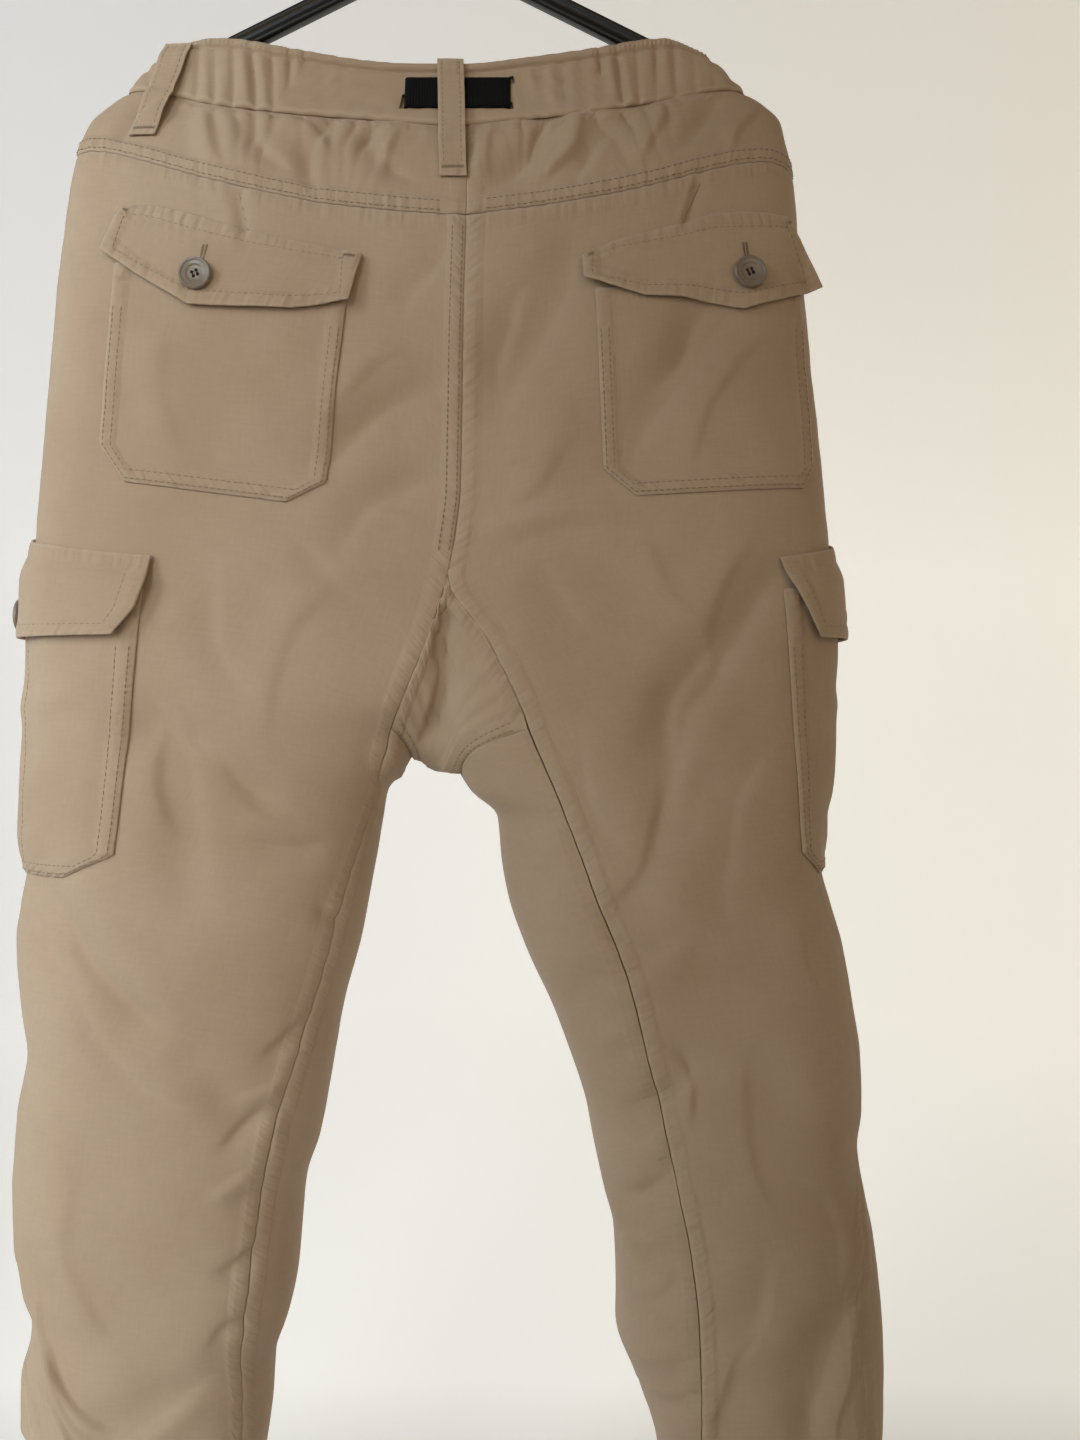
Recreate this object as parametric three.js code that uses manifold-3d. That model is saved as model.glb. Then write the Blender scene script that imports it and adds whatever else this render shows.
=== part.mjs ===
// Cargo trousers hanging on a coat hanger, in millimetres, +Z up.
// The hook bears at the origin. The garment's back faces -Y, and its front, fly side, faces +Y.
// +X is the right side as seen from behind. The cloth is a thin wall on one form, which two short tables
// give height by height, and every panel is a region of that form between its seams.
import * as THREE from 'three';
import { mergeVertices } from 'three/addons/utils/BufferGeometryUtils.js';
import Module from 'manifold-3d';

const wasm = await Module();
wasm.setup();

// Cloth and webbing
const CLOTH = 1.2;            // wall of one ply with its seam allowances
const BAND_WALL = 3;          // waistband: outer cloth, elastic and inner cloth
const FLAP_WALL = 1.6;        // pocket flaps are two plies
const WEBBING = 1.6;
const WEBBING_WIDTH = 20;
const GAP = 0.4;              // between pieces at a seam
const BAND_GAP = 0.8;         // between the thick waistband and the cloth below it
const PATCH_GAP = 0.85;       // between a panel and a pocket that bends with it
const CENTRE = 17.4;          // x of the centre seams at the waist
const LOOP_WIDTH = 15;
const BUTTON_DIAMETER = 18;
const BUTTON_THICK = 3;
const HOLES = { radius: 0.9, fromCentre: 1.7 };

// Heights of the main points, below the hook's bearing point
const BAND_MIDDLE = -180;
const HEM = -1131;
const GUSSET_TOP = -461;
const GUSSET_CORNER = -545;
const CROTCH_FRONT = -528;
const FRONT_SIDE_LEVEL = -225;

// Square corners of the body's section and of a leg's section: 0 is an ellipse
const BODY_SQUARE = 0.08;
const LEG_SQUARE = 0.04;

const BACK = -1;
const FRONT = 1;
const LEFT = { name: 'left', sign: -1 };
const RIGHT = { name: 'right', sign: 1 };
const SIDES = [LEFT, RIGHT];

const table = (columns, rows) => rows.map((row) => (
  Object.fromEntries(columns.map((name, i) => [name, row[i]]))));

// Outline of the garment. Half depth is front to back, `curl` grows from a flat body section to a closed leg.
// The inner values are the centre seam above the gusset and the inside of each leg below it.
const outline = table(['z', 'halfDepth', 'curl', 'leftOut', 'leftIn', 'rightOut', 'rightIn'], [
  [-1131, 50, 1, -234, -121, 257, 143],
  [-1070, 50, 1, -227, -114, 257, 138],
  [-1010, 50, 1, -216, -107, 257, 133],
  [-975, 50, 1, -209, -103, 256.5, 130],
  [-957, 50, 1, -208, -100.6, 256.3, 127.8],
  [-940, 50.5, 1, -237.7, -98.2, 257.2, 123],
  [-913, 51, 1, -238, -96.4, 257.5, 113],
  [-887, 51.5, 1, -232.6, -88, 257, 104.2],
  [-863, 52, 1, -238.5, -83, 255.3, 104.2],
  [-835, 52.5, 1, -242.6, -80.5, 251.3, 103],
  [-807, 53, 1, -243.3, -77.5, 246, 96],
  [-782, 53, 1, -242, -69.5, 242.7, 90.8],
  [-760, 53.5, 1, -240, -65.3, 245, 86.6],
  [-728, 54, 1, -234.5, -60, 244, 76],
  [-706, 54, 1, -237.5, -56, 240.6, 67.8],
  [-668, 54, 1, -239.5, -45.7, 234, 50.3],
  [-644, 54, 1, -239, -41, 227, 42],
  [-621, 54, 1, -235.6, -36.8, 221.8, 37.5],
  [-595, 53, 1, -236, -32.5, 222.4, 35],
  [-581, 52.5, 1, -236, -30, 225.4, 20],
  [-566, 52, 1, -235, -18.4, 226.7, 10.1],
  [-551, 52, 1, -234, -11.4, 227.3, -2.2],
  [-528, 52, 0.78, -232.3, -6, 227.3, 0],
  [-494, 51, 0.42, -230, 3, 227.4, 5],
  [-461, 50, 0.2, -228.5, 9.3, 226, 9.3],
  [-440, 49.5, 0.2, -228, 13, 225, 13],
  [-414, 48.5, 0.2, -226.4, 16, 223, 16],
  [-356, 46, 0.2, -222, 17, 217, 17],
  [-300, 42, 0.2, -218, 18, 212, 18],
  [-270, 39, 0.2, -215, 19, 209, 19],
  [-241, 35, 0.2, -212, 19, 207, 19],
  [-221, 31, 0.2, -209, 18.6, 205, 18.6],
  [-207, 26, 0.2, -206, 18.2, 202, 18.2],
  [-195, 21, 0.2, -201.5, 17.8, 199.5, 17.8],
  [-186, 18, 0.2, -192, 17.6, 191, 17.6],
  [-175, 15, 0.2, -178, 17.4, 176, 17.4],
  [-162, 13.5, 0.2, -165, 17, 163, 17],
  [-151, 12.5, 0.2, -148, 17, 147, 17],
  [-144, 12, 0.2, -140, 17, 139, 17],
]);

// Seams that run down the garment: the back panel's inner edge by its x, and the outseam by its angle
// on the section, in degrees, where 0 is the side and -90 the middle of the back.
const seams = table(['z', 'leftInner', 'rightInner', 'leftOutseam', 'rightOutseam'], [
  [-1131, -128, 166, -12, -30],
  [-1010, -113, 153, -28, -42],
  [-956, -107.5, 149, -46, -45],
  [-935, -106.7, 148.6, -44, -46],
  [-913, -106, 148.2, -33, -47],
  [-890, -104.5, 147.5, 0, -47],
  [-867, -103, 146.4, 2, -46],
  [-829, -98, 141.4, 4, -36],
  [-783, -91, 132, 5, -15],
  [-727, -75.5, 119, 5, -19],
  [-685, -62.5, 109, 5, -13],
  [-641, -50.5, 92, 5, -20],
  [-584, -34, 70.6, 5, -12],
  [-545, -23.2, 54, 5, -8],
  [-536, -19.5, 51, 5, -8],
  [-495, -1.5, 30.6, 5, -6],
  [-461, 9.3, 9.3, 5, -5],
  [-440, 13, 13, 6, -5],
  [-414, 16, 16, 6, -5],
  [-356, 17, 17, 7, -4],
  [-300, 18, 18, 8, -4],
  [-250, 19, 19, 8, -3],
  [-186, 17.6, 17.6, 8, 0],
  [-144, 17, 17, 8, 0],
]);

// Seams that run across the back, by their height at each x
const waistTop = table(['x', 'z'], [
  [-150, -154], [-145, -152.5], [-137, -149.2], [-128, -148.2], [-117, -148.8], [-81, -155.3],
  [-41, -162.2], [-15, -164.2], [18, -164.2], [48, -161], [94, -154.2], [120, -149.4], [132, -148.4],
  [144, -152.5], [149, -154],
]);
const waistSeam = table(['x', 'z'], [
  [-180, -176.8], [-172, -178.6], [-157, -181.8], [-144, -185.4], [-127, -189.8], [-103, -193.4],
  [-77, -196.9], [-41, -200.3], [11, -204.5], [48, -200.6], [79, -196.9], [109, -191.4], [140, -185.4],
  [155, -180.9], [173, -177.7], [180, -177],
]);
const yokeSeam = table(['x', 'z'], [
  [-212, -216], [-196, -217.8], [-183, -220.5], [-164, -226.4], [-139, -234], [-116, -240.7], [-96, -245.7],
  [-58, -253.3], [-14, -258], [19, -260], [33, -258.3], [64, -253.8], [93, -248.5], [123, -241.8],
  [154, -232.8], [176, -227.6], [189, -226.1], [207, -229],
]);

// Seam between the gusset and each front panel, from the front of the crotch round the inside of the leg
const crotchEdge = {
  left: table(['angle', 'z'], [
    [143, -528], [148, -538], [155, -549], [165, -558], [178, -562], [192, -556], [206, -545],
  ]),
  right: table(['angle', 'z'], [
    [143, -528], [148, -540], [158, -555], [172, -567], [188, -571], [204, -565], [240, -545],
  ]),
};

// The largest folds: a line from one end to the other on the back or front, its half width, and how far
// the cloth stands out (above 0) or in along it.
const foldColumns = ['x1', 'z1', 'x2', 'z2', 'half', 'height'];
const backFolds = table(foldColumns, [
  [76, -283, 38, -365, 16, -3],
  [100, -320, 58, -400, 15, 2],
  [-1, -359, -50, -392, 14, -2.4],
  [-4, -409, -50, -441, 15, -2.4],
  [39, -435, 92, -425, 8, 1.2],
  [158, -327, 115, -387, 14, -1.6],
  [188, -458, 161, -510, 14, -2.4],
  [-153, -550, -131, -635, 15, -3],
  [-124, -550, -95, -579, 13, -2.2],
  [148, -576, 112, -625, 15, -3.2],
  [95, -560, 132, -640, 14, 2],
  [-216, -635, -161, -701, 15, -3],
  [-184, -635, -128, -727, 15, 2.4],
  [-128, -727, -105, -757, 13, -2.6],
  [79, -694, 88, -681, 10, -2],
  [135, -726, 122, -767, 14, -3],
  [190, -690, 214, -780, 16, 2.4],
  [116, -803, 150, -830, 13, -2.6],
  [186, -855, 155, -915, 16, -3],
  [235, -863, 210, -934, 15, -3],
  [-210, -760, -190, -860, 16, 2],
  [-174, -927, -108, -893, 13, -3],
  [-175, -1010, -150, -1090, 15, -3],
  [190, -1000, 215, -1080, 15, -3],
]);
const frontFolds = table(foldColumns, [
  [-80, -300, -40, -390, 16, -3],
  [95, -290, 60, -380, 16, -2.6],
  [-150, -420, -90, -470, 15, -2.4],
  [160, -430, 100, -480, 15, -2.4],
  [-40, -500, -110, -560, 16, -3],
  [45, -505, 120, -570, 16, -3],
  [-190, -640, -130, -720, 15, 2.6],
  [190, -650, 130, -730, 15, 2.6],
  [-110, -760, -170, -820, 15, -3],
  [140, -780, 210, -840, 15, -3],
  [-130, -905, -200, -950, 15, -3],
  [150, -920, 220, -960, 15, -3],
  [-190, -1020, -150, -1080, 15, 2.4],
  [220, -1030, 180, -1090, 15, 2.4],
]);

// Waistband gathers: soft upright pleats, held flat where the arms of the hanger stretch the band
const GATHER_PITCH = 14;
const GATHER_HEIGHT = 1.1;
const GATHER_FADE = { start: 118, end: 150 };

// Belt: webbing in the waistband's tunnel, which shows at the back and the front between two slits
const beltWindows = [
  { name: 'back', face: BACK, from: -17, to: 42.6, z: -184.5 },
  { name: 'front', face: FRONT, from: -46, to: 62, z: -184.5 },
];

const toRadians = Math.PI / 180;
const clamp = (value, low, high) => Math.min(Math.max(value, low), high);
const mix = (from, to, share) => from + (to - from) * share;
function smooth(from, to, value) {
  const share = clamp((value - from) / (to - from), 0, 1);
  return share * share * (3 - 2 * share);
}

// A curve through a table's rows that never swings past them (monotone cubic pieces)
function through(rows, across, along) {
  const points = rows.map((row) => [row[across], row[along]]).sort((a, b) => a[0] - b[0]);
  const slopes = points.slice(1).map((point, i) => (point[1] - points[i][1]) / (point[0] - points[i][0]));
  const tangents = points.map((point, i) => {
    const before = slopes[i - 1] ?? slopes[0];
    const after = slopes[i] ?? slopes[slopes.length - 1];
    return before * after <= 0 ? 0 : (2 * before * after) / (before + after);
  });
  return (at) => {
    if (at <= points[0][0]) return points[0][1];
    const last = points.length - 1;
    if (at >= points[last][0]) return points[last][1];
    const i = points.findIndex((point) => point[0] > at) - 1;
    const step = points[i + 1][0] - points[i][0];
    const t = (at - points[i][0]) / step;
    const bend = t * t * (3 - 2 * t);
    const start = t * (1 - t) * (1 - t) * step * tangents[i];
    const end = t * t * (t - 1) * step * tangents[i + 1];
    return mix(points[i][1], points[i + 1][1], bend) + start + end;
  };
}

const halfDepth = through(outline, 'z', 'halfDepth');
const curl = through(outline, 'z', 'curl');
const waistTopAt = through(waistTop, 'x', 'z');
const waistSeamAt = through(waistSeam, 'x', 'z');
const yokeSeamAt = through(yokeSeam, 'x', 'z');
for (const side of SIDES) {
  side.outer = through(outline, 'z', `${side.name}Out`);
  side.inner = through(outline, 'z', `${side.name}In`);
  side.innerSeam = through(seams, 'z', `${side.name}Inner`);
  side.outseam = through(seams, 'z', `${side.name}Outseam`);
  side.crotchZ = through(crotchEdge[side.name], 'angle', 'z');
  side.crotchAngles = crotchEdge[side.name];
}

// The section of one side at a height: a rounded rectangle whose outer and inner halves reach differently
function sectionOf(side, z) {
  const outer = side.sign * side.outer(z);
  const inner = side.sign * side.inner(z);
  const middle = (outer + inner) / 2;
  const square = mix(BODY_SQUARE, LEG_SQUARE, (curl(z) - 0.2) / 0.8);
  return { middle, out: outer - middle, in: (middle - inner) / curl(z), deep: halfDepth(z), square };
}

const across = (angle, square) => (Math.cos(angle) - square * Math.cos(3 * angle)) / (1 - square);
const deepwards = (angle, square) => (Math.sin(angle) + square * Math.sin(3 * angle)) / (1 - square);

function formPoint(side, angle, z, section = sectionOf(side, z)) {
  const c = across(angle, section.square);
  const x = side.sign * (section.middle + (c > 0 ? section.out : section.in) * c);
  return new THREE.Vector3(x, section.deep * deepwards(angle, section.square), z);
}

// The angle at which the form stands at x, on the back or the front, found by halving
function angleAt(side, x, z, face) {
  const section = sectionOf(side, z);
  const reach = side.sign * x - section.middle;
  const c = clamp(reach / (reach > 0 ? section.out : section.in), -1, 1);
  let low = 0;
  let high = Math.PI;
  for (let i = 0; i < 40; i += 1) {
    const half = (low + high) / 2;
    if (across(half, section.square) > c) low = half;
    else high = half;
  }
  return face * low;
}

// How far the folds push the cloth out at a place seen from behind or from the front
function foldHeight(folds, x, z) {
  let height = 0;
  for (const fold of folds) {
    const run = new THREE.Vector2(fold.x2 - fold.x1, fold.z2 - fold.z1);
    const to = new THREE.Vector2(x - fold.x1, z - fold.z1);
    const share = clamp(to.dot(run) / run.lengthSq(), 0, 1);
    const off = to.sub(run.multiplyScalar(share)).length() / fold.half;
    if (off < 3) height += fold.height * Math.exp(-off * off);
  }
  return height;
}

function gatherHeight(x, z, face) {
  const spread = 1 - smooth(GATHER_FADE.start, GATHER_FADE.end, Math.abs(x));
  const window = beltWindows.find((each) => each.face === face);
  const fromCentre = (2 * x - window.from - window.to) / (window.to - window.from + 16);
  const flat = 1 - 0.85 * Math.exp(-(fromCentre ** 12));
  const seam = waistSeamAt(x);
  const below = smooth(seam - 16, seam + 2, z);
  const wave = Math.sin((2 * Math.PI * x) / GATHER_PITCH + 1.1 * Math.sin(x / 23) + face);
  return GATHER_HEIGHT * spread * flat * below * wave;
}

function formNormal(side, angle, z, section) {
  const step = 0.01;
  const round = formPoint(side, angle + step, z, section).sub(formPoint(side, angle - step, z, section));
  const down = formPoint(side, angle, z - 1).sub(formPoint(side, angle, z + 1));
  return round.cross(down).multiplyScalar(-side.sign).normalize();
}

// A point of the cloth's middle surface, moved out by `lift`
function clothPoint(side, angle, z, lift = 0) {
  const section = sectionOf(side, z);
  const point = formPoint(side, angle, z, section);
  const normal = formNormal(side, angle, z, section);
  const face = Math.sin(angle) < 0 ? BACK : FRONT;
  const facing = smooth(0.05, 0.7, Math.abs(Math.sin(angle)));
  const folds = foldHeight(face === BACK ? backFolds : frontFolds, point.x, z) * facing;
  point.addScaledVector(normal, lift + folds + gatherHeight(point.x, z, face));
  return Object.assign(point, { outwards: normal, angle });
}

// A point on a panel as it is built, from the nearest points of its rows, moved out by `lift`
function onPanel(panelRowsBuilt, angle, z, lift) {
  const places = panelRowsBuilt.map((row) => {
    const turn = Math.sign(row[row.length - 1].angle - row[0].angle);
    const next = row.findIndex((point) => turn * (point.angle - angle) > 0);
    const i = next === -1 ? row.length - 1 : Math.max(next, 1);
    const share = clamp((angle - row[i - 1].angle) / (row[i].angle - row[i - 1].angle), 0, 1);
    const outwards = row[i - 1].outwards.clone().lerp(row[i].outwards, share).normalize();
    return Object.assign(row[i - 1].clone().lerp(row[i], share), { outwards });
  });
  const above = clamp(places.findIndex((place) => place.z > z), 1, places.length - 1);
  const [low, high] = [places[above - 1], places[above]];
  const share = clamp((z - low.z) / (high.z - low.z), 0, 1);
  const outwards = low.outwards.clone().lerp(high.outwards, share).normalize();
  const point = low.clone().lerp(high, share).addScaledVector(outwards, lift);
  return Object.assign(point, { outwards, angle });
}

// Angles evenly spaced along a section between two angles, on a measure in which depth counts double,
// so that the turns at the sides get more of them. Both ends keep half a seam gap.
function spacedAngles(side, fromSeam, toSeam, z, count, gap = GAP) {
  const samples = 160;
  const section = sectionOf(side, z);
  const inset = (angle) => {
    const ahead = formPoint(side, angle + 0.01, z, section);
    return (gap / 2) * (0.02 / ahead.distanceTo(formPoint(side, angle - 0.01, z, section)));
  };
  const turn = Math.sign(toSeam - fromSeam);
  const from = fromSeam + turn * inset(fromSeam);
  const to = toSeam - turn * inset(toSeam);
  const run = [0];
  let before = formPoint(side, from, z, section);
  for (let i = 1; i <= samples; i += 1) {
    const point = formPoint(side, mix(from, to, i / samples), z, section);
    run.push(run[i - 1] + Math.hypot(point.x - before.x, 2 * (point.y - before.y)));
    before = point;
  }
  const whole = run[samples];
  return Array.from({ length: count + 1 }, (_, k) => {
    const target = Math.min((whole * k) / count, whole);
    const i = clamp(run.findIndex((length) => length >= target), 1, samples);
    return mix(from, to, (i - 1 + (target - run[i - 1]) / (run[i] - run[i - 1])) / samples);
  });
}

// A closed wall on a grid of points: grid[i][j], with any cell left out whose corners are missing.
// The points are the middle of the wall, and `turn` is 1 or -1 for the way the grid turns. The wall stands
// along each point's own outward direction, or along the grid's where the point has none.
function wallGeometry(grid, thick, turn, closed = false) {
  const columns = closed ? grid.length : grid.length - 1;
  const at = (i, j) => grid[i % grid.length]?.[j];
  const has = (i, j) => i >= 0 && j >= 0 && i < columns
    && [at(i, j), at(i + 1, j), at(i, j + 1), at(i + 1, j + 1)].every(Boolean);
  const wrap = (i) => (closed ? (i + grid.length) % grid.length : i);
  const normals = new Map();
  const cells = [];
  for (let i = 0; i < columns; i += 1) {
    for (let j = 0; j < grid[i].length - 1; j += 1) {
      if (!has(i, j)) continue;
      cells.push([i, j]);
      const normal = at(i + 1, j + 1).clone().sub(at(i, j)).cross(at(i, j + 1).clone().sub(at(i + 1, j)));
      normal.multiplyScalar(turn);
      for (const corner of [[i, j], [i + 1, j], [i, j + 1], [i + 1, j + 1]]) {
        const key = `${corner[0] % grid.length},${corner[1]}`;
        normals.set(key, (normals.get(key) ?? new THREE.Vector3()).add(normal));
      }
    }
  }
  const positions = [];
  const numbers = new Map();
  for (const [key, normal] of normals) {
    const [i, j] = key.split(',').map(Number);
    numbers.set(key, positions.length / 6);
    normal.copy(at(i, j).outwards ?? normal.normalize());
    for (const half of [thick / 2, -thick / 2]) {
      positions.push(...at(i, j).clone().addScaledVector(normal, half));
    }
  }
  const outer = (i, j) => 2 * numbers.get(`${i % grid.length},${j}`);
  const inner = (i, j) => outer(i, j) + 1;
  const faces = [];
  const quad = (a, b, c, d) => faces.push(...(turn > 0 ? [a, b, c, a, c, d] : [a, c, b, a, d, c]));
  for (const [i, j] of cells) {
    quad(outer(i, j), outer(i + 1, j), outer(i + 1, j + 1), outer(i, j + 1));
    quad(inner(i, j + 1), inner(i + 1, j + 1), inner(i + 1, j), inner(i, j));
    const edges = [[[i, j], [i + 1, j], [i, j - 1]], [[i + 1, j], [i + 1, j + 1], [wrap(i + 1), j]],
      [[i + 1, j + 1], [i, j + 1], [i, j + 1]], [[i, j + 1], [i, j], [wrap(i - 1), j]]];
    for (const [start, end, neighbour] of edges) {
      if (!has(...neighbour)) quad(outer(...start), inner(...start), inner(...end), outer(...end));
    }
  }
  const geometry = new THREE.BufferGeometry();
  geometry.setAttribute('position', new THREE.Float32BufferAttribute(positions, 3));
  geometry.setIndex(faces);
  return geometry;
}

function toSolid(geometry) {
  const bare = geometry.clone();
  for (const name of Object.keys(bare.attributes)) if (name !== 'position') bare.deleteAttribute(name);
  const merged = mergeVertices(bare, 1e-4);
  const vertProperties = new Float32Array(merged.attributes.position.array);
  const triVerts = new Uint32Array(merged.index.array);
  return new wasm.Manifold(new wasm.Mesh({ numProp: 3, vertProperties, triVerts }));
}

function toGeometry(solid) {
  const mesh = solid.getMesh();
  const geometry = new THREE.BufferGeometry();
  geometry.setAttribute('position', new THREE.Float32BufferAttribute(mesh.vertProperties, 3));
  geometry.setIndex([...mesh.triVerts]);
  return geometry;
}

const khaki = new THREE.MeshStandardMaterial({ color: '#9a876f', roughness: 0.85, metalness: 0 });
const buttonBrown = new THREE.MeshStandardMaterial({ color: '#61574c', roughness: 0.35, metalness: 0 });
const blackWebbing = new THREE.MeshStandardMaterial({ color: '#050505', roughness: 0.9, metalness: 0 });
const blackPlastic = new THREE.MeshStandardMaterial({ color: '#161719', roughness: 0.4, metalness: 0 });
const steel = new THREE.MeshStandardMaterial({ color: '#8d8f92', roughness: 0.3, metalness: 1 });

const group = new THREE.Group();
function add(name, geometry, material) {
  const mesh = new THREE.Mesh(geometry, material);
  mesh.name = name;
  group.add(mesh);
  return mesh;
}

// Panels. A level is a curve across a panel, as a height for each angle; rows fill in between two levels.
const flatLevel = (z) => () => z;
const seamLevel = (side, seamAt, shift = 0) => (angle) => {
  let z = FRONT_SIDE_LEVEL;
  for (let i = 0; i < 5; i += 1) z = seamAt(formPoint(side, angle, z).x) + shift;
  return z;
};

function rowPoints(side, innerAngle, outerAngle, level, count) {
  const ends = [innerAngle, outerAngle].map((angleOf) => {
    let angle = angleOf(FRONT_SIDE_LEVEL);
    for (let i = 0; i < 6; i += 1) angle = angleOf(level(angle));
    return angle;
  });
  const z = level((ends[0] + ends[1]) / 2);
  return spacedAngles(side, ends[0], ends[1], z, count).map((angle) => clothPoint(side, angle, level(angle)));
}

function panelRows(side, innerAngle, outerAngle, levels, counts, columns) {
  const rows = [];
  counts.forEach((count, part) => {
    for (let j = part === 0 ? 0 : 1; j <= count; j += 1) {
      const level = (angle) => mix(levels[part](angle), levels[part + 1](angle), j / count);
      rows.push(rowPoints(side, innerAngle, outerAngle, level, columns));
    }
  });
  return rows;
}

const transpose = (rows) => rows[0].map((_, i) => rows.map((row) => row[i]));

const BACK_COLUMNS = 13;
const FRONT_COLUMNS = 12;
const INSIDE_COLUMNS = 4;
const LEG_ROWS = 17;
const GUSSET_ROWS = 4;
const SEAT_ROWS = 8;
const YOKE_ROWS = 3;

// The gap at the inseam as an angle, and round the gusset as a share of its edges
const INSEAM_INSET = 0.008;
const GUSSET_INSET = 0.016;

const backInner = (side) => (z) => angleAt(side, side.innerSeam(z), z, BACK);
const outseamAngle = (side) => (z) => side.outseam(z) * toRadians;

// The front's inner edge: the centre seam above the crotch, and a line down the inside of the leg below it
const centreFront = through(table(['z', 'x'], [
  [-528, -3], [-494, 3], [-461, 9.3], [-440, 13], [-414, 16], [-356, 17], [-300, 18], [-250, 19], [-144, 17],
]), 'z', 'x');
const frontInner = (side) => (z) => {
  const turn = angleAt(side, centreFront(Math.max(z, CROTCH_FRONT)), Math.max(z, CROTCH_FRONT), FRONT);
  return z < CROTCH_FRONT ? mix(turn, 150 * toRadians, smooth(CROTCH_FRONT, -640, z)) : turn;
};

for (const side of SIDES) {
  const yokeLevel = seamLevel(side, yokeSeamAt, -GAP / 2);
  const backLevels = [flatLevel(HEM), flatLevel(GUSSET_CORNER), flatLevel(GUSSET_TOP), yokeLevel];
  const backRows = panelRows(side, backInner(side), outseamAngle(side), backLevels,
    [LEG_ROWS, GUSSET_ROWS, SEAT_ROWS], BACK_COLUMNS);
  add(`back_${side.name}`, wallGeometry(transpose(backRows), CLOTH, side.sign), khaki);

  const waistLevel = seamLevel(side, waistSeamAt, -BAND_GAP / 2);
  const yokeLevels = [seamLevel(side, yokeSeamAt, GAP / 2), waistLevel];
  const yokeRows = panelRows(side, backInner(side), outseamAngle(side), yokeLevels, [YOKE_ROWS],
    BACK_COLUMNS);
  add(`yoke_${side.name}`, wallGeometry(transpose(yokeRows), CLOTH, side.sign), khaki);

  // The front's rows meet the back's at the side and the crotch's and the pockets' heights at the front
  const sideEnd = seamLevel(side, yokeSeamAt)(outseamAngle(side)(FRONT_SIDE_LEVEL));
  const crotchLevel = (angle) => mix(GUSSET_CORNER, CROTCH_FRONT, smooth(0.6, 2.2, angle));
  const sideLevel = (angle) => mix(sideEnd, FRONT_SIDE_LEVEL, smooth(0.2, 1, angle));
  const frontLevels = [flatLevel(HEM), crotchLevel, flatLevel(GUSSET_TOP), sideLevel, waistLevel];
  const frontRows = panelRows(side, frontInner(side), outseamAngle(side), frontLevels,
    [LEG_ROWS, GUSSET_ROWS, SEAT_ROWS, YOKE_ROWS], FRONT_COLUMNS);
  const frontColumns = transpose(frontRows).reverse();

  // The strip from the inside of the leg round to the inseam joins the front panel in one piece
  const edge = side.crotchAngles;
  const last = edge[edge.length - 1].angle;
  const insideColumns = [];
  for (let i = 1; i <= INSIDE_COLUMNS; i += 1) {
    const share = i / INSIDE_COLUMNS;
    const topZ = side.crotchZ(mix(edge[0].angle, last, share));
    insideColumns.push(Array.from({ length: LEG_ROWS + 1 }, (_, j) => {
      const z = mix(HEM, topZ, j / LEG_ROWS);
      const inseam = 2 * Math.PI + backInner(side)(Math.min(z, GUSSET_CORNER));
      const end = i === INSIDE_COLUMNS ? inseam - INSEAM_INSET : inseam;
      return clothPoint(side, mix(frontInner(side)(z), end, share), z);
    }));
  }
  add(`front_${side.name}`, wallGeometry([...frontColumns, ...insideColumns], CLOTH, side.sign), khaki);
  side.backRows = backRows;
  side.frontRows = frontRows;
  side.gussetBack = backRows.slice(LEG_ROWS, LEG_ROWS + GUSSET_ROWS + 1).map((row) => row[0]).reverse();
  const crotch = [frontColumns[FRONT_COLUMNS], ...insideColumns].map((column) => column[LEG_ROWS]);
  side.gussetFront = crotch.reverse();
}

// Gusset: a four-sided patch between the edges that the back and front panels leave at the crotch
{
  const alongBack = (side, t) => sampleLine(side.gussetBack, t);
  const alongFront = (side, t) => sampleLine(side.gussetFront, t);
  const top = LEFT.gussetBack[0].clone().lerp(RIGHT.gussetBack[0], 0.5);
  const frontEnds = SIDES.map((side) => side.gussetFront[INSIDE_COLUMNS]);
  const front = frontEnds[0].clone().lerp(frontEnds[1], 0.5);
  const sideCorner = (side) => side.gussetBack[GUSSET_ROWS];
  // a runs from the back's top to the right corner, b from the back's top to the left corner
  const patch = (a, b) => {
    const point = new THREE.Vector3();
    point.addScaledVector(alongBack(RIGHT, a), 1 - b).addScaledVector(alongFront(LEFT, a), b);
    point.addScaledVector(alongBack(LEFT, b), 1 - a).addScaledVector(alongFront(RIGHT, b), a);
    point.addScaledVector(top, -(1 - a) * (1 - b)).addScaledVector(sideCorner(RIGHT), -a * (1 - b));
    return point.addScaledVector(sideCorner(LEFT), -(1 - a) * b).addScaledVector(front, -a * b);
  };
  const count = 6;
  const shares = Array.from({ length: count + 1 }, (_, i) => (
    clamp(i / count, GUSSET_INSET, 1 - GUSSET_INSET)));
  const grid = shares.map((a) => shares.map((b) => patch(a, b)));
  add('gusset', wallGeometry(grid, CLOTH, 1), khaki);
}

function sampleLine(points, share) {
  const place = clamp(share, 0, 1) * (points.length - 1);
  const i = Math.min(Math.floor(place), points.length - 2);
  return points[i].clone().lerp(points[i + 1], place - i);
}

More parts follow.
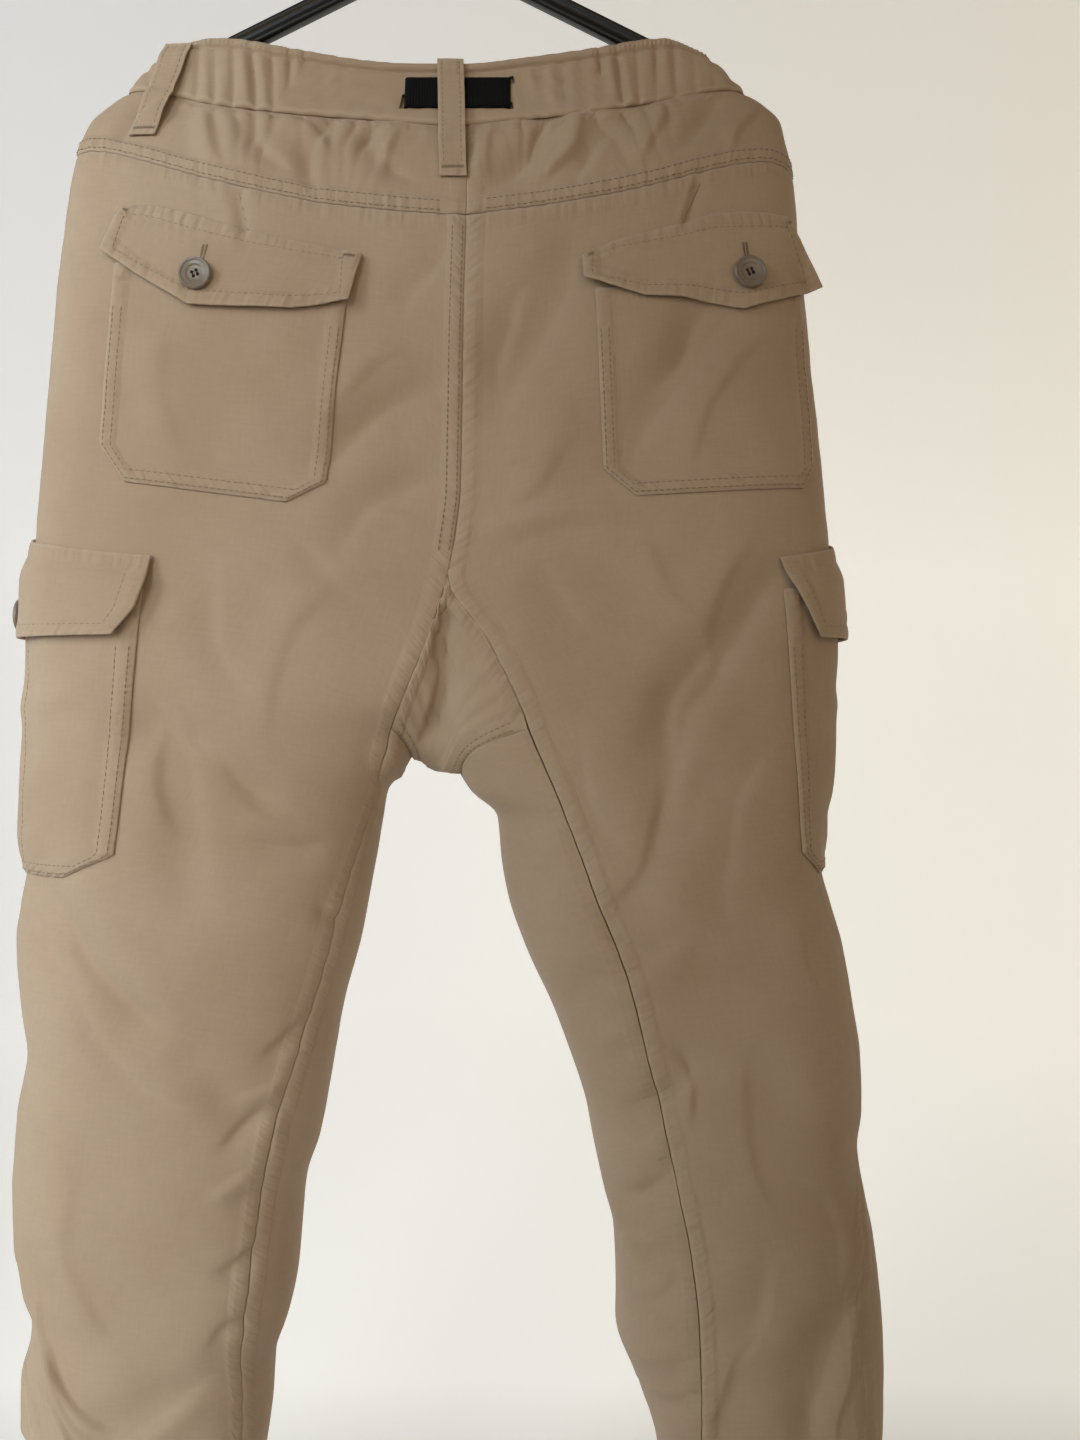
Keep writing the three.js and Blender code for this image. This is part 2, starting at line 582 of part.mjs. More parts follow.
// Waistband: one ring of gathered cloth over elastic
const BAND_COLUMNS = 38;
const BAND_ROWS = 2;
const bandRing = [];
for (const [side, face, from] of [[RIGHT, BACK, 0], [RIGHT, FRONT, 1], [LEFT, FRONT, 0], [LEFT, BACK, 1]]) {
  const lower = seamLevel(side, waistSeamAt, BAND_GAP / 2);
  const upper = seamLevel(side, waistTopAt);
  const centre = angleAt(side, CENTRE, BAND_MIDDLE, face);
  const angles = spacedAngles(side, centre, 0, BAND_MIDDLE, BAND_COLUMNS, 0);
  const run = angles.map((angle) => Array.from({ length: BAND_ROWS + 1 }, (_, j) => (
    clothPoint(side, angle, mix(lower(angle), upper(angle), j / BAND_ROWS), (BAND_WALL - CLOTH) / 4))));
  if (from === 1) run.reverse();
  bandRing.push(...run.slice(0, -1));
}

// The belt's stretches that show. Their ends turn in through the slits of the waistband.
const SLIT = { width: 2.6, height: WEBBING_WIDTH + 1.4 };
const BELT_CLEARANCE = 1.35;
const BELT_LIFT = BAND_WALL / 2 + BELT_CLEARANCE + WEBBING / 2;
const BELT_END_DEPTH = 1;
let band = toSolid(wallGeometry(bandRing, BAND_WALL, 1, true));
for (const { name, face, from, to, z } of beltWindows) {
  const columns = 10;
  const grid = Array.from({ length: columns + 1 }, (_, i) => [-1, -0.5, 0, 0.5, 1].map((part) => {
    const x = mix(from, to, i / columns);
    const side = x < CENTRE ? LEFT : RIGHT;
    const height = z + (part * WEBBING_WIDTH) / 2;
    return clothPoint(side, angleAt(side, x, height, face), height, BELT_LIFT);
  }));
  let strip = toSolid(wallGeometry(grid, WEBBING, -face));
  for (const x of [from, to]) {
    const side = x < CENTRE ? LEFT : RIGHT;
    const surface = clothPoint(side, angleAt(side, x, z, face), z);
    const inside = BAND_WALL / 2 + BELT_END_DEPTH;
    const turned = new THREE.BoxGeometry(WEBBING, BELT_LIFT + inside, WEBBING_WIDTH);
    turned.translate(x, surface.y + (face * (BELT_LIFT - inside)) / 2, z);
    strip = strip.add(toSolid(turned));
    const slit = new THREE.BoxGeometry(SLIT.width, 4 * BAND_WALL, SLIT.height);
    slit.translate(x, surface.y, z);
    band = band.subtract(toSolid(slit));
  }
  add(`belt_${name}`, toGeometry(strip), blackWebbing);
}
add('waistband', toGeometry(band), khaki);

// Slide buckle on the front stretch of the belt: a frame with a bar across its middle
const BUCKLE = { x: 8, z: -184.5, width: 40, height: 26, bar: 4, thick: 4, corner: 4, clearance: 1.2 };
{
  const half = { x: BUCKLE.width / 2, z: BUCKLE.height / 2 };
  const frame = roundedShape(BUCKLE.width, BUCKLE.height, BUCKLE.corner);
  for (const sign of [-1, 1]) {
    const window = { width: half.x - 1.5 * BUCKLE.bar, height: BUCKLE.height - 2 * BUCKLE.bar };
    const hole = roundedShape(window.width, window.height, 1);
    const shift = sign * ((BUCKLE.bar + window.width) / 2);
    const line = hole.getPoints(3).map((point) => new THREE.Vector2(point.x + shift, point.y));
    frame.holes.push(new THREE.Path(line));
  }
  const solid = { depth: BUCKLE.thick, bevelEnabled: false, curveSegments: 3 };
  const geometry = new THREE.ExtrudeGeometry(frame, solid);
  const angle = angleAt(LEFT, BUCKLE.x, BUCKLE.z, FRONT);
  const seat = clothPoint(LEFT, angle, BUCKLE.z, BELT_LIFT + WEBBING / 2 + BUCKLE.clearance);
  const buckle = add('buckle', geometry, blackPlastic);
  buckle.position.copy(seat);
  buckle.quaternion.setFromUnitVectors(new THREE.Vector3(0, 0, 1), seat.outwards);
}

function roundedShape(width, height, corner) {
  const x = width / 2;
  const y = height / 2;
  const shape = new THREE.Shape();
  shape.moveTo(-x + corner, -y).lineTo(x - corner, -y).quadraticCurveTo(x, -y, x, -y + corner);
  shape.lineTo(x, y - corner).quadraticCurveTo(x, y, x - corner, y);
  shape.lineTo(-x + corner, y).quadraticCurveTo(-x, y, -x, y - corner);
  shape.lineTo(-x, -y + corner).quadraticCurveTo(-x, -y, -x + corner, -y);
  return shape;
}

// A place on the back or front at x. Past the turn at the side the piece goes on straight.
const TURN = 0.92;
function placeAt(side, x, z, face, lift, pointAt = clothPoint) {
  const section = sectionOf(side, z);
  const edge = section.middle + TURN * section.out;
  const held = Math.min(side.sign * x, edge);
  const point = pointAt(side, angleAt(side, side.sign * held, z, face), z, lift);
  point.x += side.sign * (side.sign * x - held);
  return point;
}

// A point of the back or front panel as built, whichever lies at that angle
const panelPoint = (side, angle, z, lift) => (
  onPanel(angle < outseamAngle(side)(z) ? side.backRows : side.frontRows, angle, z, lift));

// How far patches and flaps stand off the panel's middle. A flap also lifts towards its free edge.
const TURN_LIFT = 0.5;
const FLAP_SPRING = 1.6;
const PATCH_LIFT = CLOTH / 2 + PATCH_GAP + CLOTH / 2;
const FLAP_SEAM_LIFT = CLOTH / 2 + PATCH_GAP + FLAP_WALL / 2;
const FLAP_LIFT = PATCH_LIFT + TURN_LIFT + CLOTH / 2 + PATCH_GAP + FLAP_WALL / 2;
const flapLift = (down) => (
  mix(FLAP_SEAM_LIFT, FLAP_LIFT, smooth(0, 0.35, down)) + FLAP_SPRING * down * down);
// Where the undersides of the buttons stand, a little off their flaps
const BACK_BUTTON_LIFT = FLAP_LIFT + FLAP_WALL / 2 + 1.7;
const CARGO_BUTTON_LIFT = BACK_BUTTON_LIFT + 3.3;
const gridOf = (columns, rows, pointAt) => Array.from({ length: columns + 1 }, (_, i) => (
  Array.from({ length: rows + 1 }, (__, j) => pointAt(i / columns, j / rows))));

// Back pockets: a patch with its two lower corners cut off, and a flap with its point at the button
const backPockets = {
  left: {
    corners: [[-175, -288], [-46, -300], [-58, -424], [-183, -408]],
    cuts: [{ along: 0.13, up: 0.16 }, { along: 0.17, up: 0.11 }],
    button: [-128, -297.6],
    flap: table(['topX', 'topZ', 'bottomX', 'bottomZ'], [
      [-172, -256, -181.5, -281.5], [-158, -255.5, -162.5, -295], [-147, -257, -143, -307],
      [-134, -260.5, -132.5, -314], [-118, -266, -107.5, -315], [-99, -271.5, -77, -316],
      [-70, -278, -59.5, -313.5], [-38, -284.5, -45, -311],
    ]),
  },
  right: {
    corners: [[90, -303], [205, -300], [211, -412], [95, -419]],
    cuts: [{ along: 0.15, up: 0.14 }, { along: 0.06, up: 0.1 }],
    button: [173.5, -296],
    flap: table(['topX', 'topZ', 'bottomX', 'bottomZ'], [
      [83, -284, 84, -297.5], [100, -277, 97, -303], [121, -271, 117, -309],
      [138, -266.5, 136.5, -310], [155, -260.5, 153, -312.5], [172, -259, 171, -315.5],
      [186, -259, 190, -309.5], [197, -259.5, 213.5, -299],
    ]),
  },
};
const POCKET_ROWS = [0, 0.2, 0.4, 0.6, 0.76, 0.88, 1];
const POCKET_SHARES = {
  left: [0, 0.07, 0.15, 0.28, 0.42, 0.56, 0.7, 0.85, 1],
  right: [0, 0.18, 0.36, 0.52, 0.66, 0.78, 0.87, 0.94, 1],
};

// The share of a patch's width that its cut corner takes away at a share of its height
const cutAt = (cut, down) => cut.along * clamp((down - (1 - cut.up)) / cut.up, 0, 1);

for (const side of SIDES) {
  const pocket = backPockets[side.name];
  const [topLeft, topRight, bottomRight, bottomLeft] = pocket.corners;
  const patch = POCKET_SHARES[side.name].map((along) => POCKET_ROWS.map((down) => {
    const share = mix(cutAt(pocket.cuts[0], down), 1 - cutAt(pocket.cuts[1], down), along);
    const x = mix(mix(topLeft[0], topRight[0], share), mix(bottomLeft[0], bottomRight[0], share), down);
    const z = mix(mix(topLeft[1], topRight[1], share), mix(bottomLeft[1], bottomRight[1], share), down);
    const turning = smooth(0.7, 0.95, side === RIGHT ? along : 1 - along);
    return placeAt(side, x, z, BACK, PATCH_LIFT + TURN_LIFT * turning, panelPoint);
  }));
  add(`back_pocket_${side.name}`, wallGeometry(patch, CLOTH, -1), khaki);

  const flap = pocket.flap.map((column) => [0, 0.2, 0.4, 0.7, 1].map((down) => {
    const x = mix(column.topX, column.bottomX, down);
    return placeAt(side, x, mix(column.topZ, column.bottomZ, down), BACK, flapLift(down), panelPoint);
  }));
  add(`back_flap_${side.name}`, wallGeometry(flap, FLAP_WALL, -1), khaki);

  const [x, z] = pocket.button;
  addButton(`back_button_${side.name}`, side, angleAt(side, x, z, BACK), z, BACK_BUTTON_LIFT);
}

// Cargo pockets: a bellows-free patch round the side with a stitched pleat down its middle, and its flap
const cargoPockets = {
  left: { bodyBack: { top: -156, bottom: -172 }, flapBack: [-151, -153, -158, -170], front: 38, button: -8 },
  right: { bodyBack: { top: 193, bottom: 205 }, flapBack: [191, 196, 203, 209], front: 58, button: 8 },
};
const CARGO = {
  top: -468,
  bottom: -626,
  rows: [-468, -482, -503, -524, -545, -579.5, -613.9, -620, -626],
  cut: { along: 0.16, up: 0.08 },
  flapBottom: -494,
  flapBackTop: -451,
  flapFrontTop: -424,
  flapClearance: 0.5,
  buttonZ: -480,
};
const CARGO_SHARES = [0, 0.09, 0.18, 0.27, 0.35, 0.43, 0.45, 0.55, 0.57, 0.65, 0.73, 0.82, 0.91, 1];
const CARGO_FULLNESS = 1.8;
const PLEAT_HEIGHT = 1;

for (const side of SIDES) {
  const pocket = cargoPockets[side.name];
  const body = CARGO_SHARES.map((along) => CARGO.rows.map((z) => {
    const down = (z - CARGO.top) / (CARGO.bottom - CARGO.top);
    const back = angleAt(side, mix(pocket.bodyBack.top, pocket.bodyBack.bottom, down), z, BACK);
    const cut = cutAt(CARGO.cut, down);
    const angle = mix(back, pocket.front * toRadians, mix(cut, 1 - cut, along));
    const pleat = along > 0.44 && along < 0.56 ? PLEAT_HEIGHT : 0;
    const full = CARGO_FULLNESS * clamp(Math.min(5 * along, 5 * (1 - along), 8 * (1 - down)), 0.3, 1);
    return panelPoint(side, angle, z, PATCH_LIFT + full + pleat);
  }));
  add(`cargo_pocket_${side.name}`, wallGeometry(body, CLOTH, -side.sign), khaki);

  const flapBack = (down) => {
    const place = Math.min(down * 3, 2.999);
    return mix(pocket.flapBack[Math.floor(place)], pocket.flapBack[Math.floor(place) + 1], place % 1);
  };
  const flap = gridOf(12, 4, (along, down) => {
    const z = mix(mix(CARGO.flapBackTop, CARGO.flapFrontTop, along), CARGO.flapBottom, down);
    const back = angleAt(side, flapBack(down), z, BACK);
    const front = (pocket.front + 4 - 6 * Math.max(0, down - 0.6)) * toRadians;
    const overBody = CARGO.flapClearance + (CARGO_FULLNESS + PLEAT_HEIGHT) * smooth(0.1, 0.4, down);
    return panelPoint(side, mix(back, front, along), z, flapLift(down) + overBody);
  });
  add(`cargo_flap_${side.name}`, wallGeometry(flap, FLAP_WALL, -side.sign), khaki);
  addButton(`cargo_button_${side.name}`, side, pocket.button * toRadians, CARGO.buttonZ, CARGO_BUTTON_LIFT);
}

// A four-hole button with a raised rim, on a flap
function addButton(name, side, angle, z, lift) {
  const radius = BUTTON_DIAMETER / 2;
  const profile = [[0, 0], [radius - 1.2, 0], [radius, 1.1], [radius, 2.1], [radius - 0.9, BUTTON_THICK],
    [radius - 1.8, 2.7], [radius - 3.2, 1.9], [0, 1.7]].map(([r, h]) => new THREE.Vector2(r, h));
  let solid = toSolid(new THREE.LatheGeometry(profile, 16));
  for (const turn of [45, 135, 225, 315]) {
    const hole = new THREE.CylinderGeometry(HOLES.radius, HOLES.radius, 4 * BUTTON_THICK, 6);
    const angleOf = turn * toRadians;
    hole.translate(HOLES.fromCentre * Math.cos(angleOf), 0, HOLES.fromCentre * Math.sin(angleOf));
    solid = solid.subtract(toSolid(hole));
  }
  const seat = panelPoint(side, angle, z, lift);
  const button = add(name, toGeometry(solid), buttonBrown);
  button.position.copy(seat);
  button.quaternion.setFromUnitVectors(new THREE.Vector3(0, 1, 0), seat.outwards);
}

// Belt loops: straps from the waistband's top edge to the yoke, over the belt at the back
// `start` and `stand` are how far a loop lies off the band's middle, at its top and along it.
const OVER_GATHERS = BAND_WALL / 2 + 2.6;
const OVER_BELT = BELT_LIFT + WEBBING / 2 + CLOTH / 2 + 0.5;
const loopColumns = ['name', 'side', 'face', 'topX', 'bottomX', 'topZ', 'bottomZ', 'start', 'stand'];
const loops = table(loopColumns, [
  ['back_centre', LEFT, BACK, 8.5, 11.5, -163, -238, OVER_GATHERS, OVER_BELT],
  ['side_left', LEFT, BACK, -147, -164, -153, -212, OVER_GATHERS, 5.6],
  ['side_right', RIGHT, FRONT, 146, 188, -154, -214, 3.2, 5],
  ['front_left', LEFT, FRONT, -86, -92, -156, -214, OVER_GATHERS, 5.6],
  ['front_right', RIGHT, FRONT, 100, 108, -156, -214, OVER_GATHERS, 5.6],
]);
for (const loop of loops) {
  const grid = gridOf(2, 10, (part, down) => {
    const z = mix(loop.topZ, loop.bottomZ, down);
    const x = mix(loop.topX, loop.bottomX, down) + (part - 0.5) * LOOP_WIDTH;
    const side = loop.side === LEFT && x > CENTRE ? RIGHT : loop.side;
    const standing = mix(loop.start, loop.stand, smooth(0, 0.15, down));
    return placeAt(side, x, z, loop.face, mix(standing, CLOTH + PATCH_GAP, smooth(0.72, 0.95, down)));
  });
  add(`loop_${loop.name}`, wallGeometry(grid, CLOTH, loop.face), khaki);
}

// Fly: the stitched facing edge of the front opening, as a strip with a rounded lower end
const FLY = { top: -212, bottom: -352, inner: 20.5, outer: 56, narrow: 26.5, roundFrom: 0.72 };
{
  const fly = gridOf(4, 8, (along, down) => {
    const turned = clamp((down - FLY.roundFrom) / (1 - FLY.roundFrom), 0, 1);
    const edge = mix(FLY.narrow, FLY.outer, Math.sqrt(Math.max(0.02, 1 - turned ** 2)));
    const z = mix(FLY.top, FLY.bottom, down);
    return placeAt(RIGHT, mix(FLY.inner, edge, along), z, FRONT, PATCH_LIFT, panelPoint);
  });
  add('fly', wallGeometry(fly, CLOTH, 1), khaki);
}

// Coat hanger: two straight arms that bend down at their ends, a neck, and a wire hook
const HANGER = {
  top: -81.5,
  slope: 26.5 * toRadians,
  height: 11,
  thick: 9,
  corner: 3.4,
  straightTo: [0, 50, 100, 152],
  tips: [[170, -179], [184, -191.5], [192, -201]],
};
const NECK = { upper: 7, lower: 9, tall: 26, middle: -84.5 };
const HOOK = { wire: 1.75, inside: 20, stem: [-90, -70, -52], clearance: 0.3, from: -50, to: 205, step: 15 };
{
  const drop = (HANGER.height / 2) / Math.cos(HANGER.slope);
  const armZ = (x) => HANGER.top - drop - Math.tan(HANGER.slope) * x;
  const places = [...HANGER.straightTo.map((x) => [x, armZ(x)]), ...HANGER.tips];
  const arm = (sign) => {
    const line = new THREE.CatmullRomCurve3(places.map(([x, z]) => new THREE.Vector3(sign * x, 0, z)));
    const shape = roundedShape(HANGER.thick, HANGER.height, HANGER.corner);
    return toSolid(new THREE.ExtrudeGeometry(shape, { steps: 14, extrudePath: line, curveSegments: 2 }));
  };
  const neck = new THREE.CylinderGeometry(NECK.upper, NECK.lower, NECK.tall, 20);
  neck.rotateX(Math.PI / 2);
  neck.translate(0, 0, NECK.middle);
  const boreRadius = HOOK.wire + HOOK.clearance;
  const bore = new THREE.CylinderGeometry(boreRadius, boreRadius, 2 * NECK.tall, 12);
  bore.rotateX(Math.PI / 2);
  bore.translate(0, 0, HOOK.stem[0] - HOOK.clearance + NECK.tall);
  const body = arm(-1).add(arm(1)).add(toSolid(neck)).subtract(toSolid(bore));
  add('hanger', toGeometry(body), blackPlastic);

  const radius = HOOK.inside + HOOK.wire;
  const stem = HOOK.stem.map((z) => new THREE.Vector3(0, 0, z));
  const bend = [];
  for (let turn = HOOK.from; turn <= HOOK.to; turn += HOOK.step) {
    const x = radius * Math.cos(turn * toRadians);
    bend.push(new THREE.Vector3(x, 0, radius * Math.sin(turn * toRadians) - HOOK.inside));
  }
  const wire = new THREE.CatmullRomCurve3([...stem, ...bend]);
  const round = new THREE.Shape().absarc(0, 0, HOOK.wire, 0, 2 * Math.PI);
  add('hook', new THREE.ExtrudeGeometry(round, { steps: 34, extrudePath: wire, curveSegments: 5 }), steel);
}

export default group;
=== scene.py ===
# %% [markdown]
# # Cargo trousers on a coat hanger
# The garment hangs from the hook of a hanger, with its back to the camera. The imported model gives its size
# and place. This lesson dresses it: every panel is a thin cloth shell on the same form, with the folds, seams
# and stitches that hanging and sewing leave in cotton twill.

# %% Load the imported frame
import math

import bpy
import numpy as np
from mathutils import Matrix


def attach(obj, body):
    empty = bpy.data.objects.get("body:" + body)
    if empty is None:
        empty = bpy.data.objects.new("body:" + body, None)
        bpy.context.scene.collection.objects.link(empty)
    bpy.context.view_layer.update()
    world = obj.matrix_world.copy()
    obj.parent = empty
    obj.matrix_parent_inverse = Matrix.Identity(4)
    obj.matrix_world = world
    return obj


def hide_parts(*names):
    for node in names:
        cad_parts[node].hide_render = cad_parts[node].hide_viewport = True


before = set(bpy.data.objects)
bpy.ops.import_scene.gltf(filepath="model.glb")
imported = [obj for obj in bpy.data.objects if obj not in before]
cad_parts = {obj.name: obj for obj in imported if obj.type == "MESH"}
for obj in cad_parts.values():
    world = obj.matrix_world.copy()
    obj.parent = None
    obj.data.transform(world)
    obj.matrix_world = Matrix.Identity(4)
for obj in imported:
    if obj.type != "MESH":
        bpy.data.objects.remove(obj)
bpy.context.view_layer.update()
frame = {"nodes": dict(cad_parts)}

print("nodes in the frame:", len(frame["nodes"]))

# %% [markdown]
# ## Camera
# A telephone held level, about 70 cm behind the garment and a little right of its middle. The lens and the
# place come from the sizes of the buttons and of the belt in the picture.

# %% Camera
MM = 0.001                      # the tables below are in millimetres, and a mesh is in metres


def make_camera():
    lens = bpy.data.cameras.new("photo_camera")
    lens.sensor_fit = "VERTICAL"
    lens.sensor_height = 36
    lens.lens = 30.35
    camera = bpy.data.objects.new("photo_camera", lens)
    camera.location = (0.05965, -0.710, -0.540)
    camera.rotation_euler = (math.radians(90), 0, 0)
    bpy.context.scene.collection.objects.link(camera)
    bpy.context.scene.camera = camera


make_camera()

# %% [markdown]
# ## Curves through tables
# The form of the garment is kept as short tables. A monotone cubic goes through each column: it is smooth,
# and it never swings past the given values, so a narrow place in a table stays as narrow in the cloth.

# %% Curves and small helpers


def curve_through(rows):
    """Cubic pieces through (at, value) rows. The slope at a row is the harmonic mean of the slopes on its
    two sides, or none where they turn."""
    at, value = np.array(sorted(rows), float).T
    step = np.diff(at)
    slope = np.diff(value) / step
    before = np.concatenate([slope[:1], slope])
    after = np.concatenate([slope, slope[-1:]])
    same = before * after > 0
    tangent = np.where(same, 2 * before * after / np.where(same, before + after, 1), 0)

    def curve(x):
        x = np.clip(x, at[0], at[-1])
        i = np.clip(np.searchsorted(at, x, side="right") - 1, 0, len(at) - 2)
        t = (x - at[i]) / step[i]
        ends = value[i] + (value[i + 1] - value[i]) * t * t * (3 - 2 * t)
        return ends + step[i] * t * (1 - t) * ((1 - t) * tangent[i] - t * tangent[i + 1])

    return curve


def mix(start, end, share):
    return start + (end - start) * share


def smooth(start, end, value):
    """0 before start, 1 after end, and an S between them."""
    share = np.clip((value - start) / (end - start), 0, 1)
    return share * share * (3 - 2 * share)


def bump(distance, width):
    """A bell of height 1 round distance 0."""
    return np.exp(-(distance / width) ** 2)


def ripple(x, z, size, seed):
    """Soft irregular unevenness from -1 to 1: a sum of plane waves about `size` long in seeded directions."""
    dice = np.random.default_rng(seed)
    total = 0
    count = 7
    for _ in range(count):
        turn, phase = dice.uniform(0, 2 * math.pi, 2)
        wave = 2 * math.pi / (size * dice.uniform(0.7, 1.5))
        total = total + np.sin(wave * (x * math.cos(turn) + z * math.sin(turn)) + phase)
    return total / count ** 0.5 / 1.5


# %% [markdown]
# ## The form
# At each height a side of the garment is a flat rounded section. Above the crotch the two sides share the
# centre seam, and below it each closes into a leg. The angle on a section is 0 at the side, -90 degrees in
# the middle of the back, 90 in the middle of the front and 180 on the inside of the leg.

# %% Tables of the form
HEM = -1131
GUSSET_TOP = -461
GUSSET_CORNER = -545
CROTCH_FRONT = -528
FRONT_SIDE_LEVEL = -225
BAND_MIDDLE = -180
CENTRE = 17.4                   # x of the centre seams at the waist
BODY_SQUARE = 0.08
LEG_SQUARE = 0.04
BACK = -1
FRONT = 1

# z, half depth, curl, left outer and inner x, right outer and inner x
OUTLINE = np.array([
    (-1131, 50, 1, -234, -121, 257, 143), (-1070, 50, 1, -227, -114, 257, 138),
    (-1010, 50, 1, -216, -107, 257, 133), (-975, 50, 1, -209, -103, 256.5, 130),
    (-957, 50, 1, -208, -100.6, 256.3, 127.8), (-940, 50.5, 1, -237.7, -98.2, 257.2, 123),
    (-913, 51, 1, -238, -96.4, 257.5, 113), (-887, 51.5, 1, -232.6, -88, 257, 104.2),
    (-863, 52, 1, -238.5, -83, 255.3, 104.2), (-835, 52.5, 1, -242.6, -80.5, 251.3, 103),
    (-807, 53, 1, -243.3, -77.5, 246, 96), (-782, 53, 1, -242, -69.5, 242.7, 90.8),
    (-760, 53.5, 1, -240, -65.3, 245, 86.6), (-728, 54, 1, -234.5, -60, 244, 76),
    (-706, 54, 1, -237.5, -56, 240.6, 67.8), (-668, 54, 1, -239.5, -45.7, 234, 50.3),
    (-644, 54, 1, -239, -41, 227, 42), (-621, 54, 1, -235.6, -36.8, 221.8, 37.5),
    (-595, 53, 1, -236, -32.5, 222.4, 35), (-581, 52.5, 1, -236, -30, 225.4, 20),
    (-566, 52, 1, -235, -18.4, 226.7, 10.1), (-551, 52, 1, -234, -11.4, 227.3, -2.2),
    (-528, 52, 0.78, -232.3, -6, 227.3, 0), (-494, 51, 0.42, -230, 3, 227.4, 5),
    (-461, 50, 0.2, -228.5, 9.3, 226, 9.3), (-440, 49.5, 0.2, -228, 13, 225, 13),
    (-414, 48.5, 0.2, -226.4, 16, 223, 16), (-356, 46, 0.2, -222, 17, 217, 17),
    (-300, 42, 0.2, -218, 18, 212, 18), (-270, 39, 0.2, -215, 19, 209, 19),
    (-241, 35, 0.2, -212, 19, 207, 19), (-221, 31, 0.2, -209, 18.6, 205, 18.6),
    (-207, 26, 0.2, -206, 18.2, 202, 18.2), (-195, 21, 0.2, -201.5, 17.8, 199.5, 17.8),
    (-186, 18, 0.2, -192, 17.6, 191, 17.6), (-175, 15, 0.2, -178, 17.4, 176, 17.4),
    (-162, 13.5, 0.2, -165, 17, 163, 17), (-151, 12.5, 0.2, -148, 17, 147, 17),
    (-144, 12, 0.2, -140, 17, 139, 17),
])

# z, x of the back panel's inner edge left and right, angle of the outseam left and right
SEAMS = np.array([
    (-1131, -128, 166, -12, -30), (-1010, -113, 153, -28, -42), (-956, -107.5, 149, -46, -45),
    (-935, -106.7, 148.6, -44, -46), (-913, -106, 148.2, -33, -47), (-890, -104.5, 147.5, 0, -47),
    (-867, -103, 146.4, 2, -46), (-829, -98, 141.4, 4, -36), (-783, -91, 132, 5, -15),
    (-727, -75.5, 119, 5, -19), (-685, -62.5, 109, 5, -13), (-641, -50.5, 92, 5, -20),
    (-584, -34, 70.6, 5, -12), (-545, -23.2, 54, 5, -8), (-536, -19.5, 51, 5, -8),
    (-495, -1.5, 30.6, 5, -6), (-461, 9.3, 9.3, 5, -5), (-440, 13, 13, 6, -5),
    (-414, 16, 16, 6, -5), (-356, 17, 17, 7, -4), (-300, 18, 18, 8, -4), (-250, 19, 19, 8, -3),
    (-186, 17.6, 17.6, 8, 0), (-144, 17, 17, 8, 0),
])

# Seams across the back, as (x, z)
waist_top = curve_through([
    (-150, -154), (-145, -152.5), (-137, -149.2), (-128, -148.2), (-117, -148.8), (-81, -155.3),
    (-41, -162.2), (-15, -164.2), (18, -164.2), (48, -161), (94, -154.2), (120, -149.4), (132, -148.4),
    (144, -152.5), (149, -154),
])
waist_seam = curve_through([
    (-180, -176.8), (-172, -178.6), (-157, -181.8), (-144, -185.4), (-127, -189.8), (-103, -193.4),
    (-77, -196.9), (-41, -200.3), (11, -204.5), (48, -200.6), (79, -196.9), (109, -191.4), (140, -185.4),
    (155, -180.9), (173, -177.7), (180, -177),
])
yoke_seam = curve_through([
    (-212, -216), (-196, -217.8), (-183, -220.5), (-164, -226.4), (-139, -234), (-116, -240.7),
    (-96, -245.7), (-58, -253.3), (-14, -258), (19, -260), (33, -258.3), (64, -253.8), (93, -248.5),
    (123, -241.8), (154, -232.8), (176, -227.6), (189, -226.1), (207, -229),
])
centre_front = curve_through([
    (-528, -3), (-494, 3), (-461, 9.3), (-440, 13), (-414, 16), (-356, 17), (-300, 18), (-250, 19),
    (-144, 17),
])

half_depth = curve_through(OUTLINE[:, [0, 1]].tolist())
curl = curve_through(OUTLINE[:, [0, 2]].tolist())


class Side:
    """One side of the garment: its outer and inner reach, its seams and the edge of its crotch."""

    def __init__(self, name, sign, column, crotch):
        self.name = name
        self.sign = sign
        self.outer = curve_through(OUTLINE[:, [0, 3 + 2 * column]].tolist())
        self.inner = curve_through(OUTLINE[:, [0, 4 + 2 * column]].tolist())
        self.inner_seam = curve_through(SEAMS[:, [0, 1 + column]].tolist())
        self.outseam_degrees = curve_through(SEAMS[:, [0, 3 + column]].tolist())
        self.crotch_from, self.crotch_to = crotch[0][0], crotch[-1][0]
        self.crotch = curve_through(crotch)


LEFT = Side("left", -1, 0, [
    (143, -528), (148, -538), (155, -549), (165, -558), (178, -562), (192, -556), (206, -545)])
RIGHT = Side("right", 1, 1, [
    (143, -528), (148, -540), (158, -555), (172, -567), (188, -571), (204, -565), (240, -545)])

# %% Points on the form


def section_of(side, z):
    outer, inner = side.sign * side.outer(z), side.sign * side.inner(z)
    middle = (outer + inner) / 2
    square = mix(BODY_SQUARE, LEG_SQUARE, (curl(z) - 0.2) / 0.8)
    return middle, outer - middle, (middle - inner) / curl(z), half_depth(z), square


def across(angle, square):
    return (np.cos(angle) - square * np.cos(3 * angle)) / (1 - square)


def form_point(side, angle, z, level=None):
    """A rounded rectangle: its outer and inner halves reach differently from one middle."""
    middle, out, inside, deep, square = section_of(side, z if level is None else level)
    c = across(angle, square)
    s = (np.sin(angle) + square * np.sin(3 * angle)) / (1 - square)
    x = side.sign * (middle + np.where(c > 0, out, inside) * c)
    return np.stack(np.broadcast_arrays(x, deep * s, z), -1)


